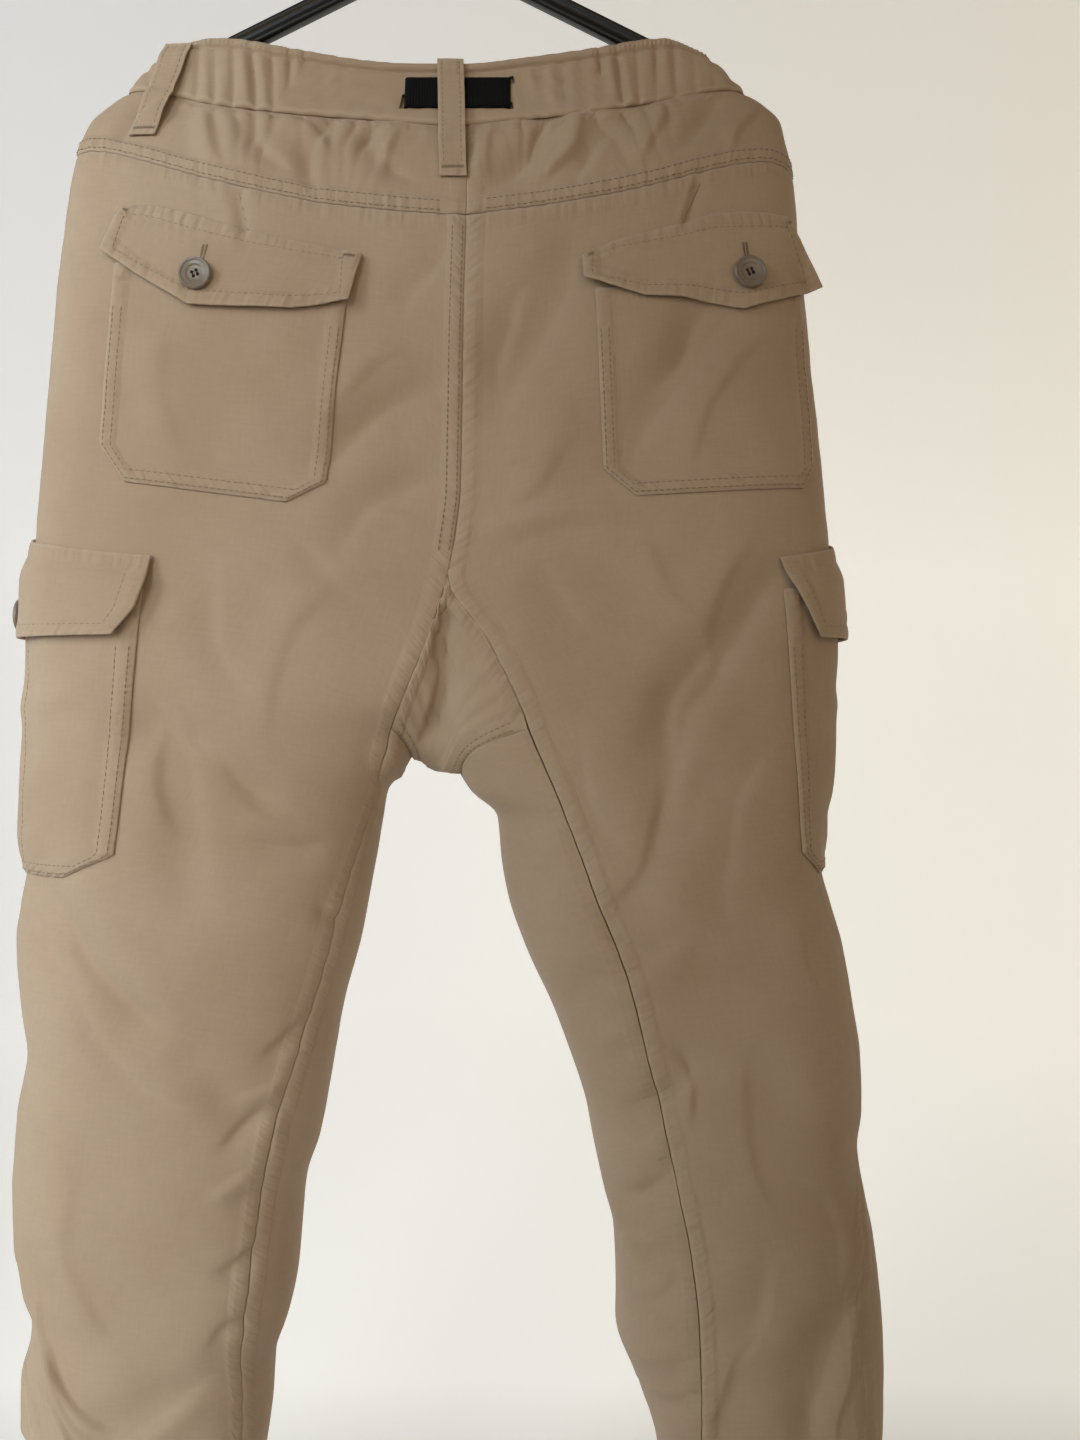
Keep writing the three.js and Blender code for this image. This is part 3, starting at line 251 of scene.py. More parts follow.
def angle_at(side, x, z, face):
    """The angle at which the form stands at x on the back or the front, found by halving."""
    middle, out, inside, _, square = section_of(side, z)
    reach = side.sign * x - middle
    c = np.clip(reach / np.where(reach > 0, out, inside), -1, 1)
    low, high = np.zeros_like(c), np.full_like(c, math.pi)
    for _ in range(26):
        half = (low + high) / 2
        more = across(half, square) > c
        low, high = np.where(more, half, low), np.where(more, high, half)
    return face * low


def form_normal(side, angle, z):
    step = 0.01
    round_ = form_point(side, angle + step, z) - form_point(side, angle - step, z)
    down = form_point(side, angle, z - 1) - form_point(side, angle, z + 1)
    normal = -side.sign * np.cross(round_, down)
    return normal / np.linalg.norm(normal, axis=-1, keepdims=True)


def back_inner(side, z):
    return angle_at(side, side.inner_seam(z), z, BACK)


def outseam(side, z):
    return np.radians(side.outseam_degrees(z))


def front_inner(side, z):
    """The centre seam above the crotch, and a line down the inside of the leg below it."""
    held = np.maximum(z, CROTCH_FRONT)
    turn = angle_at(side, centre_front(held), held, FRONT)
    return np.where(z < CROTCH_FRONT, mix(turn, math.radians(150), smooth(CROTCH_FRONT, -640, z)), turn)


# %% [markdown]
# ## Folds
# Twill falls in long soft folds where a leg is thick, and in short creases where a seam pulls. Each one is a
# line on the cloth with a width and a height, placed after the picture. A crease is steeper on one
# side, bows a little and dies out at both ends. The hidden front has a set of its own.

# %% Folds and creases
# The largest folds, which the solids have too: x1, z1, x2, z2, half width, height
BACK_FOLDS = [
    (76, -283, 38, -365, 16, -3), (100, -320, 58, -400, 15, 2), (-1, -359, -50, -392, 14, -2.4),
    (-4, -409, -50, -441, 15, -2.4), (39, -435, 92, -425, 8, 1.2), (158, -327, 115, -387, 14, -1.6),
    (188, -458, 161, -510, 14, -2.4), (-153, -550, -131, -635, 15, -3), (-124, -550, -95, -579, 13, -2.2),
    (148, -576, 112, -625, 15, -3.2), (95, -560, 132, -640, 14, 2), (-216, -635, -161, -701, 15, -3),
    (-184, -635, -128, -727, 15, 2.4), (-128, -727, -105, -757, 13, -2.6), (79, -694, 88, -681, 10, -2),
    (135, -726, 122, -767, 14, -3), (190, -690, 214, -780, 16, 2.4), (116, -803, 150, -830, 13, -2.6),
    (186, -855, 155, -915, 16, -3), (235, -863, 210, -934, 15, -3), (-210, -760, -190, -860, 16, 2),
    (-174, -927, -108, -893, 13, -3), (-175, -1010, -150, -1090, 15, -3), (190, -1000, 215, -1080, 15, -3),
]
FRONT_FOLDS = [
    (-80, -300, -40, -390, 16, -3), (95, -290, 60, -380, 16, -2.6), (-150, -420, -90, -470, 15, -2.4),
    (160, -430, 100, -480, 15, -2.4), (-40, -500, -110, -560, 16, -3), (45, -505, 120, -570, 16, -3),
    (-190, -640, -130, -720, 15, 2.6), (190, -650, 130, -730, 15, 2.6), (-110, -760, -170, -820, 15, -3),
    (140, -780, 210, -840, 15, -3), (-130, -905, -200, -950, 15, -3), (150, -920, 220, -960, 15, -3),
    (-190, -1020, -150, -1080, 15, 2.4), (220, -1030, 180, -1090, 15, 2.4),
]
# Creases: x1, z1, x2, z2, sideways bow, width on the steep side, width on the soft side, height
BACK_CREASES = [
    # yoke, below the gathers
    (-128, -196, -122, -226, 3, 3, 7, 1.25), (-104, -198, -84, -232, 4, 3, 8, -1.75),
    (-78, -202, -58, -226, -3, 3, 7, 1.5), (-60, -204, -66, -244, 4, 3, 8, -1.62),
    (-38, -206, -14, -238, 5, 3, 9, -2.0), (-22, -206, -30, -232, 0, 3, 6, 1.38),
    (33, -208, 28, -236, 2, 3, 7, 1.38), (62, -206, 38, -240, -4, 4, 9, -2.0),
    (84, -202, 62, -236, -3, 3, 8, 1.62), (108, -198, 82, -236, 4, 3, 9, -1.62),
    (132, -192, 116, -226, 3, 3, 8, 1.5), (160, -188, 138, -218, -3, 3, 8, -1.5),
    (178, -190, 168, -218, 2, 3, 7, 1.25), (-160, -192, -176, -214, 2, 3, 7, -1.25),
    # seat
    (8, -282, -14, -316, 4, 4, 12, -0.9), (-14, -336, -52, -362, 5, 4, 14, 1.1),
    (-30, -380, -64, -398, -4, 4, 12, -1.0), (52, -300, 36, -352, 4, 4, 13, -1.1),
    (70, -392, 44, -420, -3, 4, 10, 0.9), (38, -397, 62, -391, 0, 3, 6, 0.6),
    (34, -433, 112, -423, -2, 3, 7, 1.1), (-32, -426, -11, -430, 0, 3, 6, 0.8),
    (-70, -446, -30, -474, 5, 4, 12, -1.1), (150, -312, 118, -360, -5, 4, 12, -1.2),
    (176, -330, 142, -392, 5, 4, 13, 1.1), (-150, -330, -138, -392, 4, 5, 14, 0.7),
    (-108, -244, -101, -274, 0, 2, 4, -1.2), (149, -240, 138, -268, 0, 4, 2, -1.2),
    (76, -284, 38, -366, -5, 6, 18, -1.3), (158, -328, 114, -388, 4, 5, 14, -1.2),
    (0, -360, -49, -393, 5, 4, 14, -1.1), (-3, -410, -49, -442, 5, 4, 14, -1.0),
    (60, -455, 96, -500, 6, 5, 15, -0.9), (118, -446, 150, -490, 5, 5, 14, 0.9),
    # thighs
    (-60, -470, -92, -540, 7, 5, 15, 0.9), (-120, -470, -108, -520, 4, 4, 12, -0.9),
    (-24, -552, -22, -576, 1, 2.5, 6, 1.3), (-150, -552, -142, -600, 5, 4, 13, 1.4),
    (-118, -560, -82, -600, 5, 4, 12, 1.1), (-96, -606, -62, -610, 3, 4, 12, -1.1),
    (168, -448, 150, -500, 6, 4, 13, 1.2), (150, -500, 128, -560, 6, 5, 15, -1.4),
    (120, -580, 96, -640, -6, 4, 14, 1.3), (84, -560, 96, -602, 4, 3, 9, -1.0),
    (70, -600, 84, -640, 3, 3, 9, 0.9), (98, -650, 118, -668, 3, 3, 8, -1.0),
    (178, -560, 160, -640, 6, 5, 14, -1.0), (104, -688, 140, -660, 4, 4, 12, 0.9),
    (188, -464, 147, -535, 5, 7, 20, -2.0), (147, -528, 122, -606, 5, 7, 20, -2.0),
    (-152, -529, -125, -616, -6, 7, 18, -1.3), (-131, -540, -92, -584, 5, 7, 18, -1.2),
    (-218, -632, -125, -720, 8, 7, 20, -1.6), (-62, -643, -52, -657, 1, 2, 6, -1.1),
    # knees and calves
    (136, -722, 127, -752, -6, 3, 9, -1.1), (112, -806, 130, -785, 2, 4, 12, -1.6),
    (166, -893, 190, -845, 5, 5, 15, 1.6), (234, -861, 208, -932, 6, 6, 18, -1.8),
    (-216, -866, -176, -926, 9, 2, 7, 1.6), (-82, -763, -70, -771, 1, 2, 6, -1.2),
    (-226, -640, -196, -676, 4, 3, 10, -1.6), (-206, -652, -150, -712, 6, 4, 13, 1.3),
    (-190, -700, -140, -748, 5, 4, 12, -1.2), (-92, -724, -72, -706, 2, 3, 8, -1.2),
    (-104, -748, -84, -738, 2, 2.5, 7, 1.1), (-112, -772, -92, -756, -2, 2.5, 7, -1.2),
    (-118, -800, -100, -786, 2, 2.5, 7, 1.1), (-116, -842, -94, -832, 2, 2.5, 8, -1.4),
    (-120, -880, -96, -868, -2, 3, 8, -1.0), (-200, -800, -176, -880, 7, 5, 15, 0.9),
    (-236, -850, -222, -884, 3, 3, 9, -1.4), (-210, -884, -190, -930, 4, 3, 11, 1.6),
    (-190, -944, -128, -912, 6, 3, 10, 1.4), (-214, -902, -198, -940, -4, 2, 6, 1.2),
    (92, -716, 112, -704, -2, 3, 8, 1.0), (104, -752, 120, -742, 2, 3, 8, -1.1),
    (128, -724, 140, -756, -5, 3, 8, 1.4), (112, -776, 128, -762, 3, 3, 8, 1.1),
    (100, -806, 122, -790, 3, 3, 8, -1.2), (108, -838, 126, -822, -3, 2.5, 7, 1.2),
    (112, -866, 134, -846, 3, 2.5, 8, -1.3), (114, -892, 138, -880, 2, 2.5, 7, 1.2),
    (120, -920, 146, -906, 3, 2.5, 8, -1.3), (170, -730, 180, -800, 6, 5, 14, 0.9),
    (206, -796, 222, -846, -6, 5, 14, -1.0), (176, -870, 150, -934, 5, 4, 12, 1.2),
    (240, -860, 222, -930, 4, 3, 10, 1.4), (200, -640, 214, -700, 5, 5, 14, 0.9),
    # below the picture
    (-210, -980, -160, -1010, 6, 4, 12, -1.4), (-150, -1040, -190, -1080, 6, 4, 13, 1.3),
    (-140, -980, -120, -1000, 3, 3, 8, 1.1), (-136, -1060, -112, -1074, 3, 3, 8, -1.2),
    (240, -990, 190, -1020, 6, 4, 13, -1.4), (160, -1000, 176, -1050, 5, 4, 12, 1.2),
    (146, -960, 166, -980, 3, 3, 8, -1.1), (150, -1070, 176, -1086, 3, 3, 9, 1.1),
]
FRONT_CREASES = [
    (-130, -230, -110, -300, 5, 4, 12, -1.2), (-70, -226, -60, -280, 4, 4, 11, 1.1),
    (120, -230, 104, -300, 5, 4, 12, -1.2), (84, -228, 70, -280, -4, 4, 11, 1.1),
    (-60, -340, -20, -420, 6, 4, 12, -1.4), (80, -340, 40, -430, 6, 4, 12, -1.4),
    (-20, -450, -70, -500, 6, 4, 12, 1.5), (30, -450, 84, -500, 6, 4, 12, 1.5),
    (-10, -490, -60, -560, 6, 4, 13, -1.8), (14, -490, 70, -566, 6, 4, 13, -1.8),
    (-150, -470, -110, -540, 6, 5, 14, 1.1), (160, -480, 116, -546, 6, 5, 14, 1.1),
    (-180, -580, -120, -650, 7, 5, 14, -1.4), (190, -590, 130, -656, 7, 5, 14, -1.4),
    (-90, -600, -130, -680, 6, 4, 13, 1.2), (96, -610, 140, -690, 6, 4, 13, 1.2),
    (-200, -720, -140, -770, 7, 4, 13, -1.6), (220, -730, 150, -780, 7, 4, 13, -1.6),
    (-110, -730, -160, -790, 6, 4, 12, 1.3), (120, -740, 180, -800, 6, 4, 12, 1.3),
    (-190, -850, -130, -880, 6, 4, 12, -1.5), (220, -860, 150, -900, 6, 4, 12, -1.5),
    (-130, -940, -190, -990, 6, 4, 12, 1.3), (150, -950, 220, -1000, 6, 4, 12, 1.3),
    (-200, -1040, -150, -1070, 6, 4, 12, -1.3), (230, -1040, 180, -1080, 6, 4, 12, -1.3),
]


def fold_relief(folds, x, z):
    """Each fold is a bell across the line between its ends."""
    total = np.zeros_like(x)
    for x1, z1, x2, z2, half, height in folds:
        run_x, run_z = x2 - x1, z2 - z1
        share = np.clip(((x - x1) * run_x + (z - z1) * run_z) / (run_x ** 2 + run_z ** 2), 0, 1)
        off = np.hypot(x - x1 - run_x * share, z - z1 - run_z * share)
        total += height * bump(off, half)
    return total


def crease_relief(creases, x, z):
    """Each crease is a bell with a steep and a soft side, on a bowed line, that fades past its ends."""
    total = np.zeros_like(x)
    warp = 2.5 * ripple(x, z, 45, 11)
    for x1, z1, x2, z2, bow, steep, soft, height in creases:
        run_x, run_z = x2 - x1, z2 - z1
        length = math.hypot(run_x, run_z)
        share = ((x - x1) * run_x + (z - z1) * run_z) / length ** 2
        off = ((x - x1) * run_z - (z - z1) * run_x) / length + warp
        off = off - bow * 4 * share * (1 - share)
        fade = bump(np.maximum(np.abs(share - 0.5) - 0.25, 0), 0.3)
        width = mix(steep, soft, smooth(-2, 2, off))
        total += height * fade * (bump(off, width) - 0.35 * bump(off - 1.6 * width, 1.2 * width))
    return total


# %% [markdown]
# ## Seams pull the cloth
# A sewn line is shorter than the cloth beside it, so the cloth puckers next to it in small waves. Gathers do
# the same below the elastic waist. All of this is added to the folds, as a height that depends on the
# distance to the seam.

# %% Relief of the back and the front
CREASE_GAIN = 1.9
GATHER_PITCH = 12.5
GATHER_HEIGHT = 2.0
GATHER_FADE = (118, 150)


def pucker(distance, along, pitch, reach, seed):
    """Small waves across a seam, which die away within `reach` of it."""
    wave = np.sin(2 * math.pi * along / pitch + 2.2 * ripple(along, along * 0, 5 * pitch, seed))
    uneven = 0.6 + 0.4 * ripple(along, along * 0, 6 * pitch, seed + 1)
    return wave * uneven * np.exp(-np.abs(distance) / reach)


def gathers(x, z, face):
    """Soft upright pleats over the elastic, uneven in pitch and height, held flat behind the belt."""
    spread = 1 - smooth(*GATHER_FADE, np.abs(x))
    window = (-17, 42.6) if face == BACK else (-46, 62)
    from_centre = (2 * x - window[0] - window[1]) / (window[1] - window[0] + 16)
    flat = 1 - 0.85 * np.exp(-(from_centre ** 12))
    leaning = x + 0.8 * (waist_seam(x) - z) * ripple(x, x * 0, 55, 13)
    phase = 2 * math.pi * leaning / GATHER_PITCH + 1.8 * np.sin(x / 23) + face + 0.9 * ripple(x, z, 30, 12)
    return spread * flat * (np.abs(np.sin(phase / 2)) ** 0.8 * 1.7 - 0.9)


def relief(side, angle, x, z):
    """How far the cloth stands off the form: folds, creases, puckers and a faint crumple."""
    back = np.sin(angle) < 0
    facing = smooth(0.05, 0.7, np.abs(np.sin(angle)))
    folds = np.where(back, fold_relief(BACK_FOLDS, x, z), fold_relief(FRONT_FOLDS, x, z)) * facing
    creases = np.where(back, crease_relief(BACK_CREASES, x, z), crease_relief(FRONT_CREASES, x, z))
    seam = waist_seam(x)
    below = np.where(back, gathers(x, z, BACK), gathers(x, z, FRONT))
    gathered = GATHER_HEIGHT * below * np.exp(-np.maximum(seam - z, 0) / 20) * smooth(-1, 4, seam - z)
    gathered = gathered - 1.1 * bump(seam - z, 2.5)
    from_yoke = z - yoke_seam(x)
    yoke = 0.5 * pucker(from_yoke, x, 9, 7, 21) * back
    inseam = np.where(back, 1, 0) * 0.6 * pucker((x - side.inner_seam(z)), z, 13, 9, 31)
    crumple = 0.5 * ripple(x, z, 70, 41) + 0.22 * ripple(x, z, 26, 42)
    return folds + CREASE_GAIN * creases + gathered + yoke + inseam + crumple * (0.4 + 0.6 * facing)


def cloth_point(side, angle, z, lift=0):
    """The cloth's middle surface moved out by `lift`, with its outward direction."""
    angle, z, lift = np.broadcast_arrays(*(np.asarray(v, float) for v in (angle, z, lift)))
    point = form_point(side, angle, z)
    normal = form_normal(side, angle, z)
    height = lift + relief(side, angle, point[..., 0], z)
    return point + normal * height[..., None], normal


print("front and back folds:", len(BACK_FOLDS) + len(FRONT_FOLDS),
      "creases:", len(BACK_CREASES) + len(FRONT_CREASES))

# %% [markdown]
# ## From a grid to a mesh
# Every piece of cloth is a grid of points. The faces are turned by the outward directions that come with the
# points, the UV map holds real millimetres along the cloth, and a layer called `edge` tells the material how
# near the border is, where cloth wears pale first.

# %% Grid to mesh


def lengths_along(points, axis):
    step = np.linalg.norm(np.diff(points, axis=axis), axis=-1)
    zero = np.zeros_like(np.take(step, [0], axis=axis))
    return np.cumsum(np.concatenate([zero, step], axis=axis), axis=axis)


def cloth_mesh(name, points, normals, wall=0.8, closed=False, keep=None, sewn=8.0):
    """A grid of quads, with `keep` a mask of its cells. The wall is given by Solidify, half to each side.
    Within `sewn` millimetres of the border two layers say along which direction the stitching puckers it."""
    if closed:
        points = np.concatenate([points, points[:1]])
        normals = np.concatenate([normals, normals[:1]])
    rows, columns = points.shape[:2]
    u = lengths_along(points, 0)
    v = lengths_along(points, 1)
    middle = v[:, columns // 2:columns // 2 + 1]
    uv = np.stack([u, v - middle], -1)
    from_rows = np.minimum(v, v[:, -1:] - v)
    from_columns = np.minimum(u, u[-1:] - u)
    edge = from_rows if closed else np.minimum(from_rows, from_columns)
    layers = {"edge": edge}
    for layer, distance in (("pucker_u", from_rows), ("pucker_v", from_columns)):
        layers[layer] = (1 - smooth(sewn - 1, sewn + 3, distance)) * (not closed)
    number = np.arange(rows * columns).reshape(rows, columns)
    quads = np.stack([number[:-1, :-1], number[1:, :-1], number[1:, 1:], number[:-1, 1:]], -1)
    across_ = points[1:, 1:] - points[:-1, :-1]
    other = points[:-1, 1:] - points[1:, :-1]
    facing = np.sum(np.cross(across_, other) * (normals[:-1, :-1] + normals[1:, 1:]), -1)
    if np.median(facing) < 0:
        quads = quads[..., ::-1]
    if keep is not None:
        quads = quads[keep]
    return finish_mesh(name, points.reshape(-1, 3), quads.reshape(-1, 4), uv.reshape(-1, 2),
                       layers, wall, weld=closed)


def finish_mesh(name, points, quads, uv, layers, wall, weld=False):
    mesh = bpy.data.meshes.new(name)
    mesh.from_pydata((points * MM).tolist(), [], quads.tolist())
    mesh.polygons.foreach_set("use_smooth", np.ones(len(quads), bool))
    corners = quads.reshape(-1)
    layer = mesh.uv_layers.new(name="cloth")
    layer.data.foreach_set("uv", uv[corners].astype(np.float32).reshape(-1))
    for key, values in layers.items():
        kept = mesh.attributes.new(key, "FLOAT", "POINT")
        kept.data.foreach_set("value", values.reshape(-1).astype(np.float32))
    piece = bpy.data.objects.new(name, mesh)
    bpy.context.scene.collection.objects.link(piece)
    if weld:
        join = piece.modifiers.new("weld", "WELD")
        join.merge_threshold = 1e-6
    if wall:
        solid = piece.modifiers.new("wall", "SOLIDIFY")
        solid.thickness = wall * MM
        solid.offset = 0
    return piece


def dress(piece, material, slot, *nodes):
    """Give a piece its material, let it ride with the only body, and let it stand for its CAD nodes."""
    piece.data.materials.append(material)
    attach(piece, "root")
    if nodes:
        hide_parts(*nodes)
    return piece


def grid_uv(columns, rows):
    return np.meshgrid(columns, rows, indexing="ij")


def fine_ends(count, close=(0.004, 0.011, 0.022)):
    """Shares from 0 to 1, evenly spaced but for a few close to each end, where a seam turns the cloth in."""
    inner = np.linspace(0, 1, count)[1:-1]
    inner = inner[(inner > close[-1] * 1.3) & (inner < 1 - close[-1] * 1.3)]
    near = np.array([0, *close])
    return np.concatenate([near, inner, 1 - near[::-1]])


# %% [markdown]
# ## Materials
# The trousers are cotton and polyester twill, dyed khaki: matt, with a slight sheen at grazing light. The
# thread pitch of 0.5 mm is too fine for the picture, so the warp and the weft are drawn as long slubs at
# about 2 mm. Along edges the dye is a little paler.

# %% Material helper and colours


def linear(hex_colour):
    """An sRGB hex value as linear red, green, blue and alpha."""
    parts = np.array([int(hex_colour[i:i + 2], 16) for i in (1, 3, 5)]) / 255
    parts = np.where(parts <= 0.04045, parts / 12.92, ((parts + 0.055) / 1.055) ** 2.4)
    return (*parts.tolist(), 1)


def add_node(tree, kind, settings=None, values=None, links=None):
    """One node with its settings, its socket values and its incoming links."""
    node = tree.nodes.new(kind)
    for key, value in (settings or {}).items():
        setattr(node, key, value)
    for key, value in (values or {}).items():
        node.inputs[key].default_value = value
    for key, source in (links or {}).items():
        tree.links.new(source, node.inputs[key])
    return node


def new_material(name):
    material = bpy.data.materials.new(name)
    material.use_nodes = True
    tree = material.node_tree
    shader = tree.nodes["Principled BSDF"]
    return material, tree, shader


def twill_material(name, base, pale, dark, edge_pale, bump_strength):
    """Woven cloth: slubs along warp and weft, a slow unevenness of the dye, and pale worn edges."""
    material, tree, shader = new_material(name)
    uv = add_node(tree, "ShaderNodeUVMap", {"uv_map": "cloth"}).outputs["UV"]
    place = add_node(tree, "ShaderNodeTexCoord").outputs["Object"]
    warp_place = add_node(tree, "ShaderNodeMapping", values={"Scale": (0.55, 0.09, 1)},
                          links={"Vector": uv}).outputs["Vector"]
    weft_place = add_node(tree, "ShaderNodeMapping", values={"Scale": (0.09, 0.55, 1)},
                          links={"Vector": uv}).outputs["Vector"]
    warp = add_node(tree, "ShaderNodeTexNoise", values={"Scale": 1, "Detail": 3, "Roughness": 0.6},
                    links={"Vector": warp_place}).outputs["Fac"]
    weft = add_node(tree, "ShaderNodeTexNoise", values={"Scale": 1, "Detail": 3, "Roughness": 0.6},
                    links={"Vector": weft_place}).outputs["Fac"]
    weave = add_node(tree, "ShaderNodeMix", {"data_type": "FLOAT"}, {"Factor": 0.5},
                     {"A": warp, "B": weft}).outputs["Result"]
    slow = add_node(tree, "ShaderNodeTexNoise", values={"Scale": 9, "Detail": 3, "Roughness": 0.5},
                    links={"Vector": place}).outputs["Fac"]
    shade = add_node(tree, "ShaderNodeMapRange",
                     values={"From Min": 0.35, "From Max": 0.65, "To Min": 0, "To Max": 1},
                     links={"Value": slow}).outputs["Result"]
    dyed = add_node(tree, "ShaderNodeMix", {"data_type": "RGBA"}, {6: linear(base), 7: linear(dark)},
                    {0: shade}).outputs[2]
    thread = add_node(tree, "ShaderNodeMapRange",
                      values={"From Min": 0.3, "From Max": 0.7, "To Min": 0.95, "To Max": 1.05},
                      links={"Value": weave}).outputs["Result"]
    woven = add_node(tree, "ShaderNodeVectorMath", {"operation": "SCALE"},
                     links={0: dyed, "Scale": thread}).outputs["Vector"]
    near = add_node(tree, "ShaderNodeAttribute", {"attribute_name": "edge"}).outputs["Fac"]
    worn = add_node(tree, "ShaderNodeMapRange",
                    values={"From Min": 0, "From Max": 2.2, "To Min": edge_pale, "To Max": 0},
                    links={"Value": near}).outputs["Result"]
    colour = add_node(tree, "ShaderNodeMix", {"data_type": "RGBA"}, {7: linear(pale)},
                      {0: worn, 6: woven}).outputs[2]
    tree.links.new(colour, shader.inputs["Base Color"])
    height = add_node(tree, "ShaderNodeBump", values={"Strength": bump_strength, "Distance": 0.0004},
                      links={"Height": weave}).outputs["Normal"]
    pulled = None
    for layer, scale in (("pucker_u", (0.24, 0.04, 1)), ("pucker_v", (0.04, 0.24, 1))):
        spot = add_node(tree, "ShaderNodeMapping", values={"Scale": scale}, links={"Vector": uv}).outputs["Vector"]
        waves = add_node(tree, "ShaderNodeTexNoise", values={"Scale": 1, "Detail": 1, "Roughness": 0.4},
                         links={"Vector": spot}).outputs["Fac"]
        mask = add_node(tree, "ShaderNodeAttribute", {"attribute_name": layer}).outputs["Fac"]
        sum_ = {0: mask, 1: waves} if pulled is None else {0: mask, 1: waves, 2: pulled}
        pulled = add_node(tree, "ShaderNodeMath", {"operation": "MULTIPLY_ADD"}, {2: 0.0} if pulled is None else {},
                          sum_).outputs["Value"]
    height = add_node(tree, "ShaderNodeBump", values={"Strength": 0.9, "Distance": 0.0014},
                      links={"Height": pulled, "Normal": height}).outputs["Normal"]
    tree.links.new(height, shader.inputs["Normal"])
    shader.inputs["Roughness"].default_value = 0.82
    shader.inputs["IOR"].default_value = 1.45
    shader.inputs["Specular IOR Level"].default_value = 0.3
    shader.inputs["Sheen Weight"].default_value = 0.12
    shader.inputs["Sheen Roughness"].default_value = 0.5
    return material


khaki_twill = twill_material("khaki_twill", "#B19A82", "#C5B099", "#A89077", 0.35, 0.35)


def plain_material(name, base, dark, roughness, scale, bump_strength, metallic=0.0, specular=0.5):
    """A moulded, spun or drawn surface: a fine noise varies its colour and its bump."""
    material, tree, shader = new_material(name)
    place = add_node(tree, "ShaderNodeTexCoord").outputs["Object"]
    grain = add_node(tree, "ShaderNodeTexNoise", values={"Scale": scale, "Detail": 4, "Roughness": 0.6},
                     links={"Vector": place}).outputs["Fac"]
    colour = add_node(tree, "ShaderNodeMix", {"data_type": "RGBA"}, {6: linear(base), 7: linear(dark)},
                      {0: grain}).outputs[2]
    tree.links.new(colour, shader.inputs["Base Color"])
    height = add_node(tree, "ShaderNodeBump", values={"Strength": bump_strength, "Distance": 0.0002},
                      links={"Height": grain}).outputs["Normal"]
    tree.links.new(height, shader.inputs["Normal"])
    shader.inputs["Roughness"].default_value = roughness
    shader.inputs["Metallic"].default_value = metallic
    shader.inputs["Specular IOR Level"].default_value = specular
    return material


# The topstitching thread is coloured darker than the cloth: painted shade for the grooves the stitches sink into.
thread_darkened_for_groove_shade = plain_material("spun_polyester_thread", "#9C8870", "#7A6952", 0.7, 2500, 0.4)
button_plastic = plain_material("moulded_polyester_button", "#6E6256", "#8C7F70", 0.28, 260, 0.05)
dark_thread = plain_material("dark_button_thread", "#2A241E", "#191510", 0.8, 2500, 0.4)
hanger_plastic = plain_material("moulded_polystyrene_hanger", "#0C0D0E", "#141517", 0.33, 180, 0.06)
buckle_plastic = plain_material("moulded_acetal_buckle", "#0D0D0E", "#18181A", 0.45, 400, 0.1)
zinc_wire = plain_material("zinc_plated_wire", "#A9ACB0", "#8E9196", 0.28, 900, 0.05, metallic=1.0)
# Dark brown painted shade for the gap inside a buttonhole slit; no piece uses it.
buttonhole_painted_shade = plain_material("buttonhole_gap", "#3A3128", "#2A231C", 0.9, 900, 0.2)


def webbing_material():
    """Woven polyester tape: ribs across its length, 1.6 mm apart, nearly black."""
    material, tree, shader = new_material("woven_black_webbing")
    uv = add_node(tree, "ShaderNodeUVMap", {"uv_map": "cloth"}).outputs["UV"]
    ribs = add_node(tree, "ShaderNodeTexWave",
                    {"wave_type": "BANDS", "bands_direction": "X", "wave_profile": "SIN"},
                    {"Scale": 2 * math.pi / 20 / 1.6, "Distortion": 0.3, "Detail": 1},
                    {"Vector": uv}).outputs["Fac"]
    colour = add_node(tree, "ShaderNodeMix", {"data_type": "RGBA"},
                      {6: linear("#050505"), 7: linear("#0B0B0C")}, {0: ribs}).outputs[2]
    tree.links.new(colour, shader.inputs["Base Color"])
    height = add_node(tree, "ShaderNodeBump", values={"Strength": 0.5, "Distance": 0.0004},
                      links={"Height": ribs}).outputs["Normal"]
    tree.links.new(height, shader.inputs["Normal"])
    shader.inputs["Roughness"].default_value = 0.9
    shader.inputs["Specular IOR Level"].default_value = 0.2
    return material


black_webbing = webbing_material()

# %% [markdown]
# ## Stitches
# A lockstitch shows as a row of short thread bars, each sunk at both ends. One bar is a low capsule of a few
# faces, and a seam is a joined mesh of copies of it along a line on the cloth. The thread is 0.4 mm thick.

# %% Stitches
STITCH_PITCH = 3.4
STITCH_LENGTH = 2.5
THREAD_RADIUS = 0.3
stitch_lines = []


def capsule():
    """A closed spindle along x: two points and three rings of six between them."""
    rings = np.array([(-0.5, 0.0), (-0.36, 0.8), (0.0, 1.0), (0.36, 0.8), (0.5, 0.0)])
    turn = np.arange(6) * math.pi / 3
    body = np.array([[along, round_ * math.cos(t), round_ * math.sin(t)]
                     for along, round_ in rings[1:-1] for t in turn])
    points = np.concatenate([[[-0.5, 0, 0]], body, [[0.5, 0, 0]]])
    faces = []
    for k in range(6):
        after = (k + 1) % 6
        faces.append((0, 1 + after, 1 + k, 1 + k))
        for ring in range(2):
            low, high = 1 + 6 * ring, 7 + 6 * ring
            faces.append((low + k, low + after, high + after, high + k))
        faces.append((13 + k, 13 + after, 19, 19))
    return points, faces


